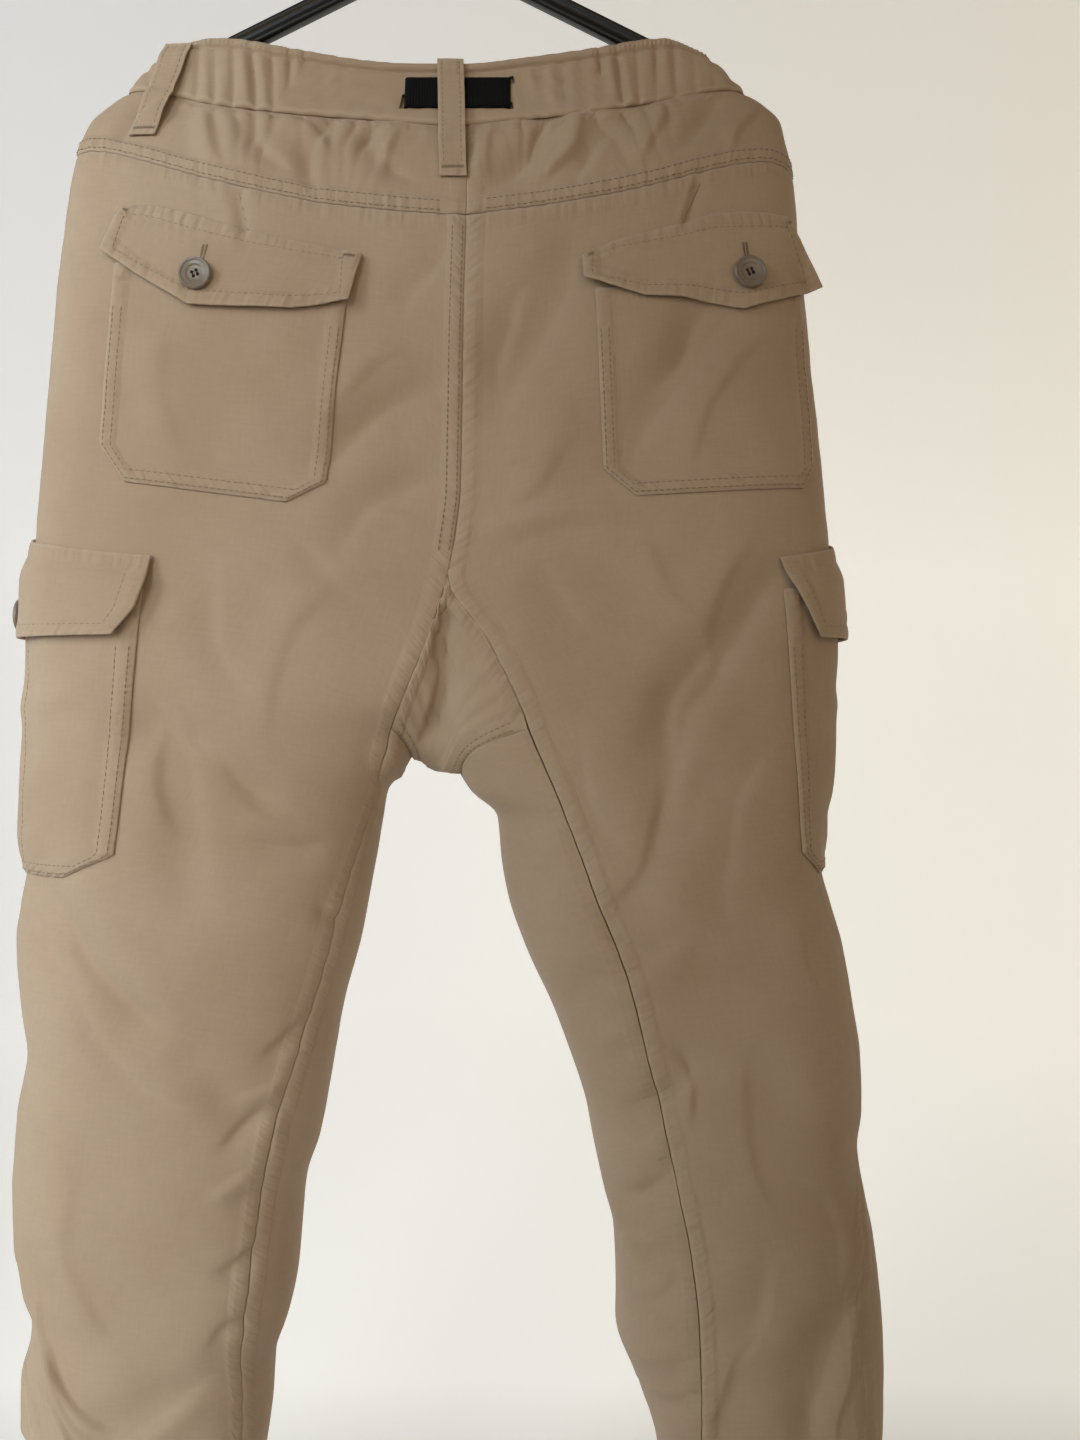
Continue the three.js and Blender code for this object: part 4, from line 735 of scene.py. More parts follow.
def sew(line, normals, lift=0.35, pitch=STITCH_PITCH, length=STITCH_LENGTH, crosswise=False):
    """Keep the middles, directions, normals and length of the stitches along a line of points."""
    run = lengths_along(line, 0)
    count = max(int(run[-1] / pitch), 1)
    at = (np.arange(count) + 0.5) * run[-1] / count
    middle = np.stack([np.interp(at, run, line[:, k]) for k in range(3)], -1)
    ahead = np.stack([np.interp(at + 0.5, run, line[:, k]) - np.interp(at - 0.5, run, line[:, k])
                      for k in range(3)], -1)
    up = np.stack([np.interp(at, run, normals[:, k]) for k in range(3)], -1)
    if crosswise:
        ahead = np.cross(up, ahead)
    stitch_lines.append((middle + up * lift, ahead, up, np.full(count, length)))


def sewn_mesh(name, lines, material, radius=THREAD_RADIUS):
    """One joined mesh of all the stitches in these lines."""
    middle, ahead, up, length = (np.concatenate([line[k] for line in lines]) for k in range(4))
    ahead = ahead / np.linalg.norm(ahead, axis=1, keepdims=True)
    side_ = np.cross(up, ahead)
    side_ /= np.linalg.norm(side_, axis=1, keepdims=True)
    above = np.cross(ahead, side_)
    shape, faces = capsule()
    points = (middle[:, None] + shape[None, :, :1] * length[:, None, None] * ahead[:, None]
              + shape[None, :, 1:2] * radius * side_[:, None] + shape[None, :, 2:] * radius * above[:, None])
    starts = np.arange(len(middle)) * len(shape)
    tri_or_quad = [tuple(dict.fromkeys(face)) for face in faces]
    all_faces = [tuple(int(start) + i for i in face) for start in starts for face in tri_or_quad]
    mesh = bpy.data.meshes.new(name)
    mesh.from_pydata((points.reshape(-1, 3) * MM).tolist(), [], all_faces)
    mesh.polygons.foreach_set("use_smooth", np.ones(len(mesh.polygons), bool))
    piece = bpy.data.objects.new(name, mesh)
    bpy.context.scene.collection.objects.link(piece)
    return dress(piece, material, "khaki_cloth")


# %% [markdown]
# ## Leg and seat panels
# Each back panel runs from the hem to the yoke in one piece, between the inseam or centre seam and the
# outseam. Each front panel runs on round the inside of its leg to meet it. At every seam the cloth turns in,
# which leaves the fine dark line that makes a seam readable from a step away.

# %% Panels
SEAM_DIP = 0.85
SEAM_WIDTH = 1.5
PANEL_WALL = 0.8


def seam_level(side, seam, angle, shift=0):
    """The height of a seam across the garment at an angle, which needs the x at that height."""
    z = np.full_like(angle, float(FRONT_SIDE_LEVEL))
    for _ in range(6):
        z = seam(form_point(side, angle, z)[..., 0]) + shift
    return z


def level_of(side, first, last, seam, shift, near):
    """A seam's height as a function of the share from a panel's first edge to its last one."""

    def level(u):
        return seam_level(side, seam, mix(first(near), last(near), u), shift)

    return level


def panel_places(side, first, last, lower, upper, shares, rows):
    """Angle and height of a panel's grid. The columns are spread evenly along the cloth in each row."""
    dense = np.linspace(0, 1, 181)[:, None]

    def place(u, v):
        z = mix(lower(u), upper(u), v)
        return mix(first(z), last(z), u), z

    run = lengths_along(form_point(side, *place(dense, rows[None])), 0)
    run = run / run[-1:]
    even = np.stack([np.interp(shares, run[:, k], dense[:, 0]) for k in range(len(rows))], 1)
    return place(even, rows[None])


ALL_EDGES = ("low", "high", "first", "last")


def dip_at_edges(points, edges=ALL_EDGES):
    """How far the seams pull the cloth in, from the distance to the named edges of the grid."""
    u, v = lengths_along(points, 0), lengths_along(points, 1)
    total = 0
    for edge, distance in zip(ALL_EDGES, (v, v[:, -1:] - v, u, u[-1:] - u)):
        if edge in edges:
            total = total + bump(distance, SEAM_WIDTH)
    return SEAM_DIP * np.minimum(total, 1)


def flat_level(z):
    return lambda u: np.full_like(u, float(z))


def panel(side, inner, outer, lower, upper, columns, rows, edges, extra=None):
    """Cloth between two seams, dipped along the named edges."""
    angle, z = panel_places(side, inner, outer, lower, upper, columns, rows)
    flat, _ = cloth_point(side, angle, z)
    lift = -dip_at_edges(flat, edges)
    if extra is not None:
        lift = lift + extra(angle, z, flat)
    return cloth_point(side, angle, z, lift)


def yoke_band(angle, z, flat):
    """The felled seam allowance stands 0.5 mm proud in a band 8 mm high above the yoke seam."""
    above = z - yoke_seam(flat[..., 0])
    return 0.5 * smooth(0, 1, above) * (1 - smooth(7, 9.5, above))


def centre_band(angle, z, flat):
    """The same along the left of the centre seam."""
    beside = CENTRE - flat[..., 0]
    return 0.5 * smooth(0, 1.2, beside) * (1 - smooth(7.5, 10, beside)) * (z > -458)


sheets = {}
for side in (LEFT, RIGHT):
    inner = lambda z, side=side: back_inner(side, z)
    outer = lambda z, side=side: outseam(side, z)
    at_yoke = level_of(side, inner, outer, yoke_seam, -0.2, -250.0)
    above_yoke = level_of(side, inner, outer, yoke_seam, 0.2, -250.0)
    at_waist = level_of(side, inner, outer, waist_seam, 1.6, -195.0)
    points, normals = panel(side, inner, outer, flat_level(HEM), at_yoke, fine_ends(100),
                            fine_ends(400, (0.001, 0.0025, 0.005)), ("high", "first", "last"),
                            centre_band if side is LEFT else None)
    name = f"back_{side.name}"
    sheets[name] = dress(cloth_mesh(f"{name}_panel", points, normals, PANEL_WALL), khaki_twill,
                         "khaki_cloth", name)
    points, normals = panel(side, inner, outer, above_yoke, at_waist, fine_ends(150),
                            fine_ends(34, (0.012, 0.03, 0.06)), ("low", "first", "last"), yoke_band)
    name = f"yoke_{side.name}"
    sheets[name] = dress(cloth_mesh(f"{name}_panel", points, normals, PANEL_WALL), khaki_twill,
                         "khaki_cloth", name)
print("back panels and yokes made")

# %% Fronts, which go on round the inside of the leg


def front_panel(side):
    """Columns from the outseam to the centre front, then below the crotch on to the inseam."""
    leg_rows = fine_ends(160, (0.0015, 0.004, 0.008))
    body_rows = np.linspace(0, 1, 84)[1:]
    crotch_angle = math.radians(side.crotch_from)
    far = math.radians(side.crotch_to)
    u_front = fine_ends(60)
    u_inside = fine_ends(40)[1:]

    def first(z):
        return outseam(side, z)

    def last(z):
        return front_inner(side, z)

    def crotch_level(u):
        angle = mix(first(np.float64(-540)), last(np.float64(-530)), u)
        return mix(GUSSET_CORNER, CROTCH_FRONT, smooth(0.6, 2.2, angle))

    waist_level = level_of(side, first, last, waist_seam, 1.6, -195.0)
    leg = panel_places(side, first, last, flat_level(HEM), crotch_level, u_front, leg_rows)
    body = panel_places(side, first, last, crotch_level, waist_level, u_front, body_rows)
    front_angle = np.concatenate([leg[0], body[0]], 1)
    front_z = np.concatenate([leg[1], body[1]], 1)
    u, v = grid_uv(u_inside, leg_rows)
    top = side.crotch(np.degrees(mix(crotch_angle, far, u)))
    z = mix(HEM, top, v)
    inseam = 2 * math.pi + back_inner(side, np.minimum(z, GUSSET_CORNER)) - 0.008
    angle = mix(front_inner(side, z), inseam, u)
    missing = np.full((len(u_inside), len(body_rows)), np.nan)
    all_angle = np.concatenate([front_angle, np.concatenate([angle, missing], 1)])
    all_z = np.concatenate([front_z, np.concatenate([z, missing], 1)])
    kept = ~np.isnan(all_z)
    all_angle = np.where(kept, all_angle, crotch_angle)
    all_z = np.where(kept, all_z, CROTCH_FRONT)
    flat, _ = cloth_point(side, all_angle, all_z)
    columns, rows = all_z.shape
    near_side = np.linalg.norm(flat - flat[:1], axis=-1)
    near_end = np.linalg.norm(flat - flat[-1:], axis=-1) + 1e3 * ~kept
    dip = bump(near_side, SEAM_WIDTH)
    dip[:, :len(leg_rows)] += bump(near_end, SEAM_WIDTH)[:, :len(leg_rows)]
    points, normals = cloth_point(side, all_angle, all_z, -SEAM_DIP * np.minimum(dip, 1))
    keep = kept[:-1, :-1] & kept[1:, :-1] & kept[:-1, 1:] & kept[1:, 1:]
    return points, normals, keep


for side in (LEFT, RIGHT):
    points, normals, keep = front_panel(side)
    name = f"front_{side.name}"
    sheets[name] = dress(cloth_mesh(f"{name}_panel", points, normals, PANEL_WALL, keep=keep), khaki_twill,
                         "khaki_cloth", name)
print("front panels made")

# %% [markdown]
# ## Gusset
# A leaf of cloth let in at the crotch so that the legs can spread. Its four edges are the edges that the back
# and the front panels leave, and the surface between them is a Coons patch: the sum of the two ruled surfaces
# less the bilinear one.

# %% Gusset


def gusset_edges(side, t):
    """The edge that the back panel leaves, from the top down, and the front panel's, from the corner on."""
    z = mix(GUSSET_TOP, GUSSET_CORNER, t)
    along_back = cloth_point(side, back_inner(side, z), z)[0]
    z = side.crotch(mix(side.crotch_to, side.crotch_from, t))
    inseam = 2 * math.pi + back_inner(side, np.minimum(z, GUSSET_CORNER)) - 0.008
    return along_back, cloth_point(side, mix(inseam, front_inner(side, z), t), z)[0]


def gusset_points(count):
    """The patch runs a little past its edges, to lie under the panels that are sewn to it."""
    t = np.linspace(-0.012, 1.012, count)
    left_back, left_front = gusset_edges(LEFT, np.clip(t, 0, 1))
    right_back, right_front = gusset_edges(RIGHT, np.clip(t, 0, 1))
    top = (left_back[0] + right_back[0]) / 2
    front = (left_front[-1] + right_front[-1]) / 2
    a, b = (w[..., None] for w in grid_uv(t, t))
    points = (1 - b) * right_back[:, None] + b * left_front[:, None]
    points = points + (1 - a) * left_back[None] + a * right_front[None]
    points = points - (1 - a) * (1 - b) * top - a * (1 - b) * right_back[-1]
    return points - (1 - a) * b * left_back[-1] - a * b * front


points = gusset_points(60)
rough = np.cross(np.gradient(points, axis=0), np.gradient(points, axis=1))
rough /= np.linalg.norm(rough, axis=-1, keepdims=True) + 1e-9
if rough[..., 2].mean() > 0:
    rough = -rough
height = 0.8 * ripple(points[..., 0], points[..., 1], 30, 51) + 0.5 * ripple(points[..., 0], points[..., 2], 16, 52)
valley = curve_through([(-560, -12), (-545, -3), (-520, 4.5), (-490, 5), (-461, 6)])(points[..., 2])
from_valley = points[..., 0] - valley
from_low, from_first = lengths_along(points, 0), lengths_along(points, 1)
from_edge = np.minimum(np.minimum(from_low, from_low[-1:] - from_low),
                       np.minimum(from_first, from_first[:, -1:] - from_first))
valley_width = mix(3.0, 9.0, smooth(-1, 2, from_valley))
shown = smooth(-466, -486, points[..., 2]) * smooth(1.5, 8, from_edge) * smooth(-18, -34, points[..., 1])
height = height - 5.5 * bump(from_valley, valley_width) * shown
points = points + rough * (height - dip_at_edges(points))[..., None]
for inset in (3, 6):
    sew(points[-inset, 3:-3], rough[-inset, 3:-3], 0.45)
    sew(points[3:-3, -inset], rough[3:-3, -inset], 0.45)
sheets["gusset"] = dress(cloth_mesh("gusset_panel", points, rough, PANEL_WALL), khaki_twill,
                         "khaki_cloth", "gusset")

# %% [markdown]
# ## Waistband
# A ring of cloth over elastic. Its section is a flat loop that is rolled over at the top, so the ring is a
# closed surface, and the gathers are uneven pleats in its outer face. The top roll has fine ribs where the
# elastic pulls it, with a stitched groove below.

# %% Waistband
BAND_WALL = 3.0
SLITS = {BACK: (-17, 42.6), FRONT: (-46, 62)}
BELT_Z = -184.5
WEBBING_WIDTH = 20.0


def band_profile():
    """Round the band's section: share of its height and place across its wall."""
    rows = np.concatenate([np.linspace(0.03, 0.12, 6), np.linspace(0.16, 0.76, 15), np.linspace(0.78, 0.94, 13)])
    outer = [(h, 0.5) for h in rows]
    roll = [(0.97 + 0.03 * math.sin(t), 0.5 * math.cos(t)) for t in np.linspace(0.2, math.pi - 0.2, 9)]
    inner = [(h, -0.5) for h in np.linspace(0.94, 0.03, 10)]
    foot = [(0.0, -0.25), (0.0, 0.25)]
    return np.array(outer + roll + inner + foot)


def band_places(side, face, count):
    centre = angle_at(side, np.float64(CENTRE), np.float64(BAND_MIDDLE), face)
    return mix(centre, 0, np.linspace(0, 1, count))


def pleats(x, up, face):
    """Uneven upright pleats: round ridges with narrow valleys whose pitch and lean drift."""
    lean = (up - 0.5) * (3.0 + 5.0 * ripple(x, x * 0, 40, 61))
    phase = math.pi * (x + lean) / 10.5 + 0.7 * ripple(x + lean, x * 0, 48, 62 + face)
    ridge = np.abs(np.sin(phase)) ** 0.75 - 0.62
    second = np.sin(2.7 * phase + 3 * up)
    uneven = np.clip(0.95 + 0.5 * ripple(x, up * 30, 42, 64 + face), 0.55, 1.5)
    wave = ridge * uneven * 3.4 + 0.28 * second * uneven
    hold = smooth(-0.15, 0.12, up) * (1 - 0.75 * smooth(0.72, 0.9, up))
    spread = 1 - 0.7 * smooth(108, 150, np.abs(x))
    slit = SLITS[face]
    from_centre = (2 * x - slit[0] - slit[1]) / (slit[1] - slit[0] + 12)
    flat = 1 - 0.8 * np.exp(-(from_centre ** 12))
    return wave * hold * spread * flat


def waistband():
    profile = band_profile()
    rings, ups, normals_all = [], [], []
    count = 230
    for side, face, turned in ((RIGHT, BACK, False), (RIGHT, FRONT, True), (LEFT, FRONT, False),
                               (LEFT, BACK, True)):
        angle = band_places(side, face, count)[:, None]
        if turned:
            angle = angle[::-1]
        angle = angle[:-1]
        low = seam_level(side, waist_seam, angle, 0.4)
        high = seam_level(side, waist_top, angle)
        up = profile[None, :, 0]
        z = mix(low, high, up)
        angle = np.broadcast_to(angle, z.shape)
        form = form_point(side, angle, z)
        normal = form_normal(side, angle, z)
        x = form[..., 0]
        outer_face = smooth(-0.5, 0.5, profile[None, :, 1])
        lift = 0.45 + BAND_WALL * profile[None, :, 1]
        lift = lift + pleats(x, up, face) * outer_face
        from_top = (1 - up) * (high - low)
        roll = bump(from_top - 2.6, 2.2)
        ribs = 0.3 * np.sin(2 * math.pi * x / 2.6 + 1.5 * ripple(x, x * 0, 20, 65))
        lift = lift + (0.7 + ribs) * roll * (profile[None, :, 1] > 0.1)
        lift = lift - 1.4 * bump(from_top - 5.6, 1.1) * outer_face
        from_low = up * (high - low)
        lift = lift - 1.2 * bump(from_low, 1.5) * outer_face
        rings.append(form + normal * lift[..., None])
        normals_all.append(normal * np.sign(profile[None, :, 1:] + 1e-6))
        ups.append(np.broadcast_to(x, z.shape))
    points = np.concatenate(rings)
    normals = np.concatenate(normals_all)
    points = np.concatenate([points, points[:, :1]], 1)
    normals = np.concatenate([normals, normals[:, :1]], 1)
    x = (points[:-1, :-1, 0] + points[1:, 1:, 0]) / 2
    y = points[:-1, :-1, 1]
    z = points[:-1, :-1, 2]
    on_outside = np.arange(points.shape[1] - 1)[None, :] < 33
    open_slit = np.zeros(x.shape, bool)
    for face, ends in SLITS.items():
        for end in ends:
            open_slit |= (np.abs(x - end) < 0.9) & (np.sign(y) == face) & (np.abs(z - BELT_Z) < 10.6)
    keep = ~(open_slit & on_outside)
    keep = np.concatenate([keep, keep[:1]])
    return points, normals, keep


points, normals, keep = waistband()
band = cloth_mesh("waistband_ring", points, normals, wall=0, closed=True, keep=keep)
sheets["waistband"] = dress(band, khaki_twill, "khaki_cloth", "waistband")
print("waistband columns:", len(points))

# %% [markdown]
# ## Belt
# Black webbing that shows between two slits at the back, and again at the front with its slide buckle. Its
# ends turn in through the slits.

# %% Belt
BELT_LIFT = BAND_WALL / 2 + 1.35 + 0.8


def belt_strip(face, ends):
    """A tape 20 mm wide: in through a slit, along the band, and in through the other one."""
    start, end = ends
    x = np.concatenate([[start + 0.4] * 3, np.linspace(start + 1.2, end - 1.2, 60), [end - 0.4] * 3])
    sunk = np.concatenate([[-3.6, -2.0, -0.6], np.zeros(60), [-0.6, -2.0, -3.6]])
    part = np.linspace(-0.5, 0.5, 15)
    x, part = grid_uv(x, part)
    z = BELT_Z + part * WEBBING_WIDTH
    left = angle_at(LEFT, x, z, face)
    right = angle_at(RIGHT, x, z, face)
    on_left = (x < CENTRE)[..., None]
    lift = BELT_LIFT + np.broadcast_to(sunk[:, None], x.shape) - 0.25 * bump(np.abs(part) - 0.5, 0.05)
    lift = lift - 0.5
    form = np.where(on_left, form_point(LEFT, left, z), form_point(RIGHT, right, z))
    normal = np.where(on_left, form_normal(LEFT, left, z), form_normal(RIGHT, right, z))
    return form + normal * lift[..., None], normal


for face, name in ((BACK, "belt_back"), (FRONT, "belt_front")):
    points, normals = belt_strip(face, SLITS[face])
    strip = cloth_mesh(f"{name}_webbing", points, normals, 1.4)
    sheets[name] = dress(strip, black_webbing, "black_webbing", name)

# %% [markdown]
# ## Pockets and flaps
# A patch pocket lies on its panel and takes the panel's folds. Its edges are turned under, so a band along
# them is a ply thicker, and the topstitching puckers that band. A flap is two plies, stitched along the top,
# and it springs off the pocket towards its free edge.

# %% Places on the garment for patches and flaps
TURN = 0.92
PATCH_LIFT = 1.7
FLAP_SEAM_LIFT = 2.2
FLAP_LIFT = 4.3
FLAP_SPRING = 1.6
POCKET_WALL = 1.0
FLAP_WALL = 1.5


def place_at(side, x, z, face, lift):
    """The cloth at x. Past the turn at the side, the piece goes on straight."""
    middle, out, _, _, _ = section_of(side, z)
    edge = middle + TURN * out
    held = np.minimum(side.sign * x, edge)
    point, normal = cloth_point(side, angle_at(side, side.sign * held, z, face), z, lift)
    point = point.copy()
    point[..., 0] += side.sign * (side.sign * x - held)
    return point, normal


def flap_lift(down):
    return mix(FLAP_SEAM_LIFT, FLAP_LIFT, smooth(0, 0.35, down)) + FLAP_SPRING * down * down


def cut_at(cut, down):
    """The share of a patch's width that its cut corner takes away at a share of its height."""
    along, up = cut
    return along * np.clip((down - (1 - up)) / up, 0, 1)


BACK_POCKETS = {
    "left": {
        "corners": [(-175, -288), (-46, -300), (-58, -424), (-183, -408)],
        "cuts": [(0.13, 0.16), (0.17, 0.11)],
        "button": (-128, -297.6),
        "hole": ((-123.5, -280), (-125.5, -289)),
        "flap": [(-172, -256, -181.5, -281.5), (-158, -255.5, -162.5, -295), (-147, -257, -143, -307),
                 (-134, -260.5, -132.5, -314), (-118, -266, -107.5, -315), (-99, -271.5, -77, -316),
                 (-70, -278, -59.5, -313.5), (-38, -284.5, -45, -311)],
    },
    "right": {
        "corners": [(90, -303), (205, -300), (211, -412), (95, -419)],
        "cuts": [(0.15, 0.14), (0.06, 0.1)],
        "button": (173.5, -296),
        "hole": ((171.4, -278), (172.4, -287)),
        "flap": [(83, -284, 84, -297.5), (100, -277, 97, -303), (121, -271, 117, -309),
                 (138, -266.5, 136.5, -310), (155, -260.5, 153, -312.5), (172, -259, 171, -315.5),
                 (186, -259, 190, -309.5), (197, -259.5, 213.5, -299)],
    },
}


def patch_point(side, pocket, along, down, lift=0):
    """A place on a back pocket by its shares, with the border stitched down and the middle a little full."""
    corners = np.array(pocket["corners"], float)
    share = mix(cut_at(pocket["cuts"][0], down), 1 - cut_at(pocket["cuts"][1], down), along)
    top = corners[0] + (corners[1] - corners[0]) * share[..., None]
    low = corners[3] + (corners[2] - corners[3]) * share[..., None]
    x, z = np.moveaxis(top + (low - top) * down[..., None], -1, 0)
    wide, tall = 125, 118
    border = np.minimum(np.minimum(along, 1 - along) * wide, (1 - down) * tall)
    held = smooth(0, 2.5, border)
    ply = 0.45 * (1 - smooth(6.5, 8.5, border)) * held
    wave = 0.35 * pucker(border - 4, (along * wide + down * tall), 9, 5, 71) * smooth(0, 4, border)
    groove = -0.25 * bump(border - 6.6, 0.9)
    full = 0.8 * smooth(8, 40, border) + 0.35 * ripple(x, z, 38, 72)
    height = mix(0.9, PATCH_LIFT, held) + ply + wave + groove + full * smooth(6, 14, border)
    return place_at(side, x, z, BACK, height + lift)


def flap_point(side, pocket, along, down, lift=0):
    """A place on a back flap: its columns give the top and the bottom edge."""
    columns = np.array(pocket["flap"], float)
    at = along * (len(columns) - 1)
    top_x, top_z, low_x, low_z = (np.interp(at, np.arange(len(columns)), columns[:, k]) for k in range(4))
    x, z = mix(top_x, low_x, down), mix(top_z, low_z, down)
    wide, tall = 135, 42
    border = np.minimum(np.minimum(along, 1 - along) * wide, (1 - down) * tall)
    from_top = down * tall
    ply = 0.5 * (1 - smooth(5.5, 8, border)) + 0.5 * (1 - smooth(5.5, 7.5, from_top))
    wave = 0.4 * pucker(from_top - 6, along * wide, 8, 5, 73) + 0.3 * pucker(border - 5, along * wide, 10, 4, 74)
    groove = -0.25 * bump(border - 6.4, 0.9) - 0.3 * bump(from_top - 6.8, 0.9)
    rounded = -0.5 * bump(border, 1.0) - 0.6 * bump(from_top, 1.2)
    curled = 2.0 * down ** 3 * ripple(along * wide + 100 * (side is LEFT), along * 0, 30, 75)
    return place_at(side, x, z, BACK, flap_lift(down) + ply + wave + groove + rounded + curled + lift)


def sew_on(place, path, lift, **how):
    """Stitch along a path of (along, down) shares on a piece whose points `place` gives."""
    path = np.array(path, float)
    t = np.linspace(0, len(path) - 1, 40 * (len(path) - 1) + 1)
    along = np.interp(t, np.arange(len(path)), path[:, 0])
    down = np.interp(t, np.arange(len(path)), path[:, 1])
    line, normals = place(along, down)
    sew(line, normals, lift, **how)


BARTACK = {"pitch": 0.62, "length": 2.2, "crosswise": True}
BUTTONHOLE = {"pitch": 0.8, "length": 1.5, "crosswise": True}


# %% Back pockets
for side in (LEFT, RIGHT):
    pocket = BACK_POCKETS[side.name]
    along, down = grid_uv(fine_ends(64, (0.006, 0.014, 0.024)), fine_ends(58, (0.006, 0.014, 0.024)))
    points, normals = patch_point(side, pocket, along, down)
    name = f"back_pocket_{side.name}"
    sheets[name] = dress(cloth_mesh(f"{name}_patch", points, normals, POCKET_WALL), khaki_twill,
                         "khaki_cloth", name)
    along, down = grid_uv(fine_ends(86, (0.005, 0.012, 0.02)), fine_ends(26, (0.015, 0.03, 0.05)))
    points, normals = flap_point(side, pocket, along, down)
    name = f"back_flap_{side.name}"
    sheets[name] = dress(cloth_mesh(f"{name}_piece", points, normals, FLAP_WALL), khaki_twill,
                         "khaki_cloth", name)
    on_patch = lambda a, d, side=side, pocket=pocket: patch_point(side, pocket, a, d)
    on_flap = lambda a, d, side=side, pocket=pocket: flap_point(side, pocket, a, d)
    for inset_a, inset_d in ((0.052, 0.056), (0.016, 0.017)):
        sew_on(on_patch, [(inset_a, 0.2), (inset_a, 0.86), (inset_a, 1 - inset_d), (1 - inset_a, 1 - inset_d),
                          (1 - inset_a, 0.86), (1 - inset_a, 0.2)], POCKET_WALL / 2)
    sew_on(on_flap, [(0.046, 0.1), (0.046, 0.86), (0.5, 0.85), (0.954, 0.86), (0.954, 0.1)], FLAP_WALL / 2)
    sew_on(on_flap, [(0.01, 0.165), (0.99, 0.165)], FLAP_WALL / 2)
    for corner in (0.025, 0.955):
        sew_on(on_flap, [(corner, 0.1), (corner + 0.03, 0.1)], FLAP_WALL / 2, **BARTACK)
    for sideways in (-0.9, 0.9):
        ends = np.array(pocket["hole"], float)
        t = np.linspace(0, 1, 12)
        x, z = mix(ends[0, 0], ends[1, 0], t) + sideways, mix(ends[0, 1], ends[1, 1], t)
        sew(*place_at(side, x, z, BACK, flap_lift(0.45) + 0.2), FLAP_WALL / 2, **BUTTONHOLE)

# %% [markdown]
# ## Cargo pockets
# The side pockets wrap round the thigh. Each has a pleat down its middle, and a squarer flap that is cut off
# at its lower corners.

# %% Cargo pockets
CARGO = {
    "top": -468, "bottom": -626, "flap_bottom": -494, "flap_back_top": -451, "flap_front_top": -424,
    "cut": (0.16, 0.08), "full": 1.8, "pleat": 1.0, "button": -480,
}
CARGO_SIDES = {
    "left": {"body_back": (-156, -172), "flap_back": (-151, -153, -158, -170), "front": 38, "button": -8},
    "right": {"body_back": (193, 205), "flap_back": (191, 196, 203, 209), "front": 58, "button": 8},
}


def cargo_point(side, along, down, lift=0):
    """A place on a side pocket, from its back edge round to its front one."""
    pocket = CARGO_SIDES[side.name]
    z = mix(CARGO["top"], CARGO["bottom"], down)
    back = angle_at(side, mix(*pocket["body_back"], down), z, BACK)
    cut = cut_at(CARGO["cut"], down)
    angle = mix(back, math.radians(pocket["front"]), mix(cut, 1 - cut, along))
    wide, tall = 150, 158
    border = np.minimum(np.minimum(along, 1 - along) * wide, (1 - down) * tall)
    held = smooth(0, 2.5, border)
    ply = 0.45 * (1 - smooth(6.5, 8.5, border)) * held
    wave = 0.45 * pucker(border - 4, along * wide + down * tall, 9, 6, 81) * smooth(0, 4, border)
    pleat_edge = smooth(0.425, 0.435, along) * (1 - smooth(0.565, 0.575, along))
    pleat_dip = -0.5 * bump(along - 0.428, 0.008) - 0.5 * bump(along - 0.572, 0.008)
    full = CARGO["full"] * np.clip(np.minimum(np.minimum(5 * along, 5 * (1 - along)), 8 * (1 - down)), 0.3, 1)
    crease = 0.6 * ripple(along * wide, down * tall, 34, 82)
    crease = crease + 1.1 * bump(down * tall - 62 - 22 * (along - 0.3), 7) * smooth(0.05, 0.2, along)
    height = mix(0.9, PATCH_LIFT, held) + ply + wave + (full - 0.3) * held
    height = height + (CARGO["pleat"] * pleat_edge + pleat_dip + crease) * smooth(4, 12, border)
    return cloth_point(side, angle, z, height + lift)


def cargo_flap_point(side, along, down, lift=0):
    """A place on a side pocket's flap."""
    pocket = CARGO_SIDES[side.name]
    z = mix(mix(CARGO["flap_back_top"], CARGO["flap_front_top"], along), CARGO["flap_bottom"], down)
    back_x = np.interp(down, [0, 1 / 3, 2 / 3, 1], pocket["flap_back"])
    back = angle_at(side, back_x, z, BACK)
    front = np.radians(pocket["front"] + 4 - 6 * np.maximum(0, down - 0.6))
    wide, tall = 160, 48
    border = np.minimum(np.minimum(along, 1 - along) * wide, (1 - down) * tall)
    from_top = down * tall
    ply = 0.5 * (1 - smooth(5.5, 8, border)) + 0.4 * (1 - smooth(5.5, 7.5, from_top))
    wave = 0.35 * pucker(from_top - 6, along * wide, 8, 5, 83) + 0.3 * pucker(border - 5, along * wide, 10, 4, 84)
    groove = -0.25 * bump(border - 6.4, 0.9) - 0.3 * bump(from_top - 6.8, 0.9)
    rounded = -0.5 * bump(border, 1.0) - 0.6 * bump(from_top, 1.2)
    over = (CARGO["full"] + CARGO["pleat"]) * smooth(0.1, 0.4, down)
    height = flap_lift(down) + over + ply + wave + groove + rounded
    return cloth_point(side, mix(back, front, along), z, height + lift)


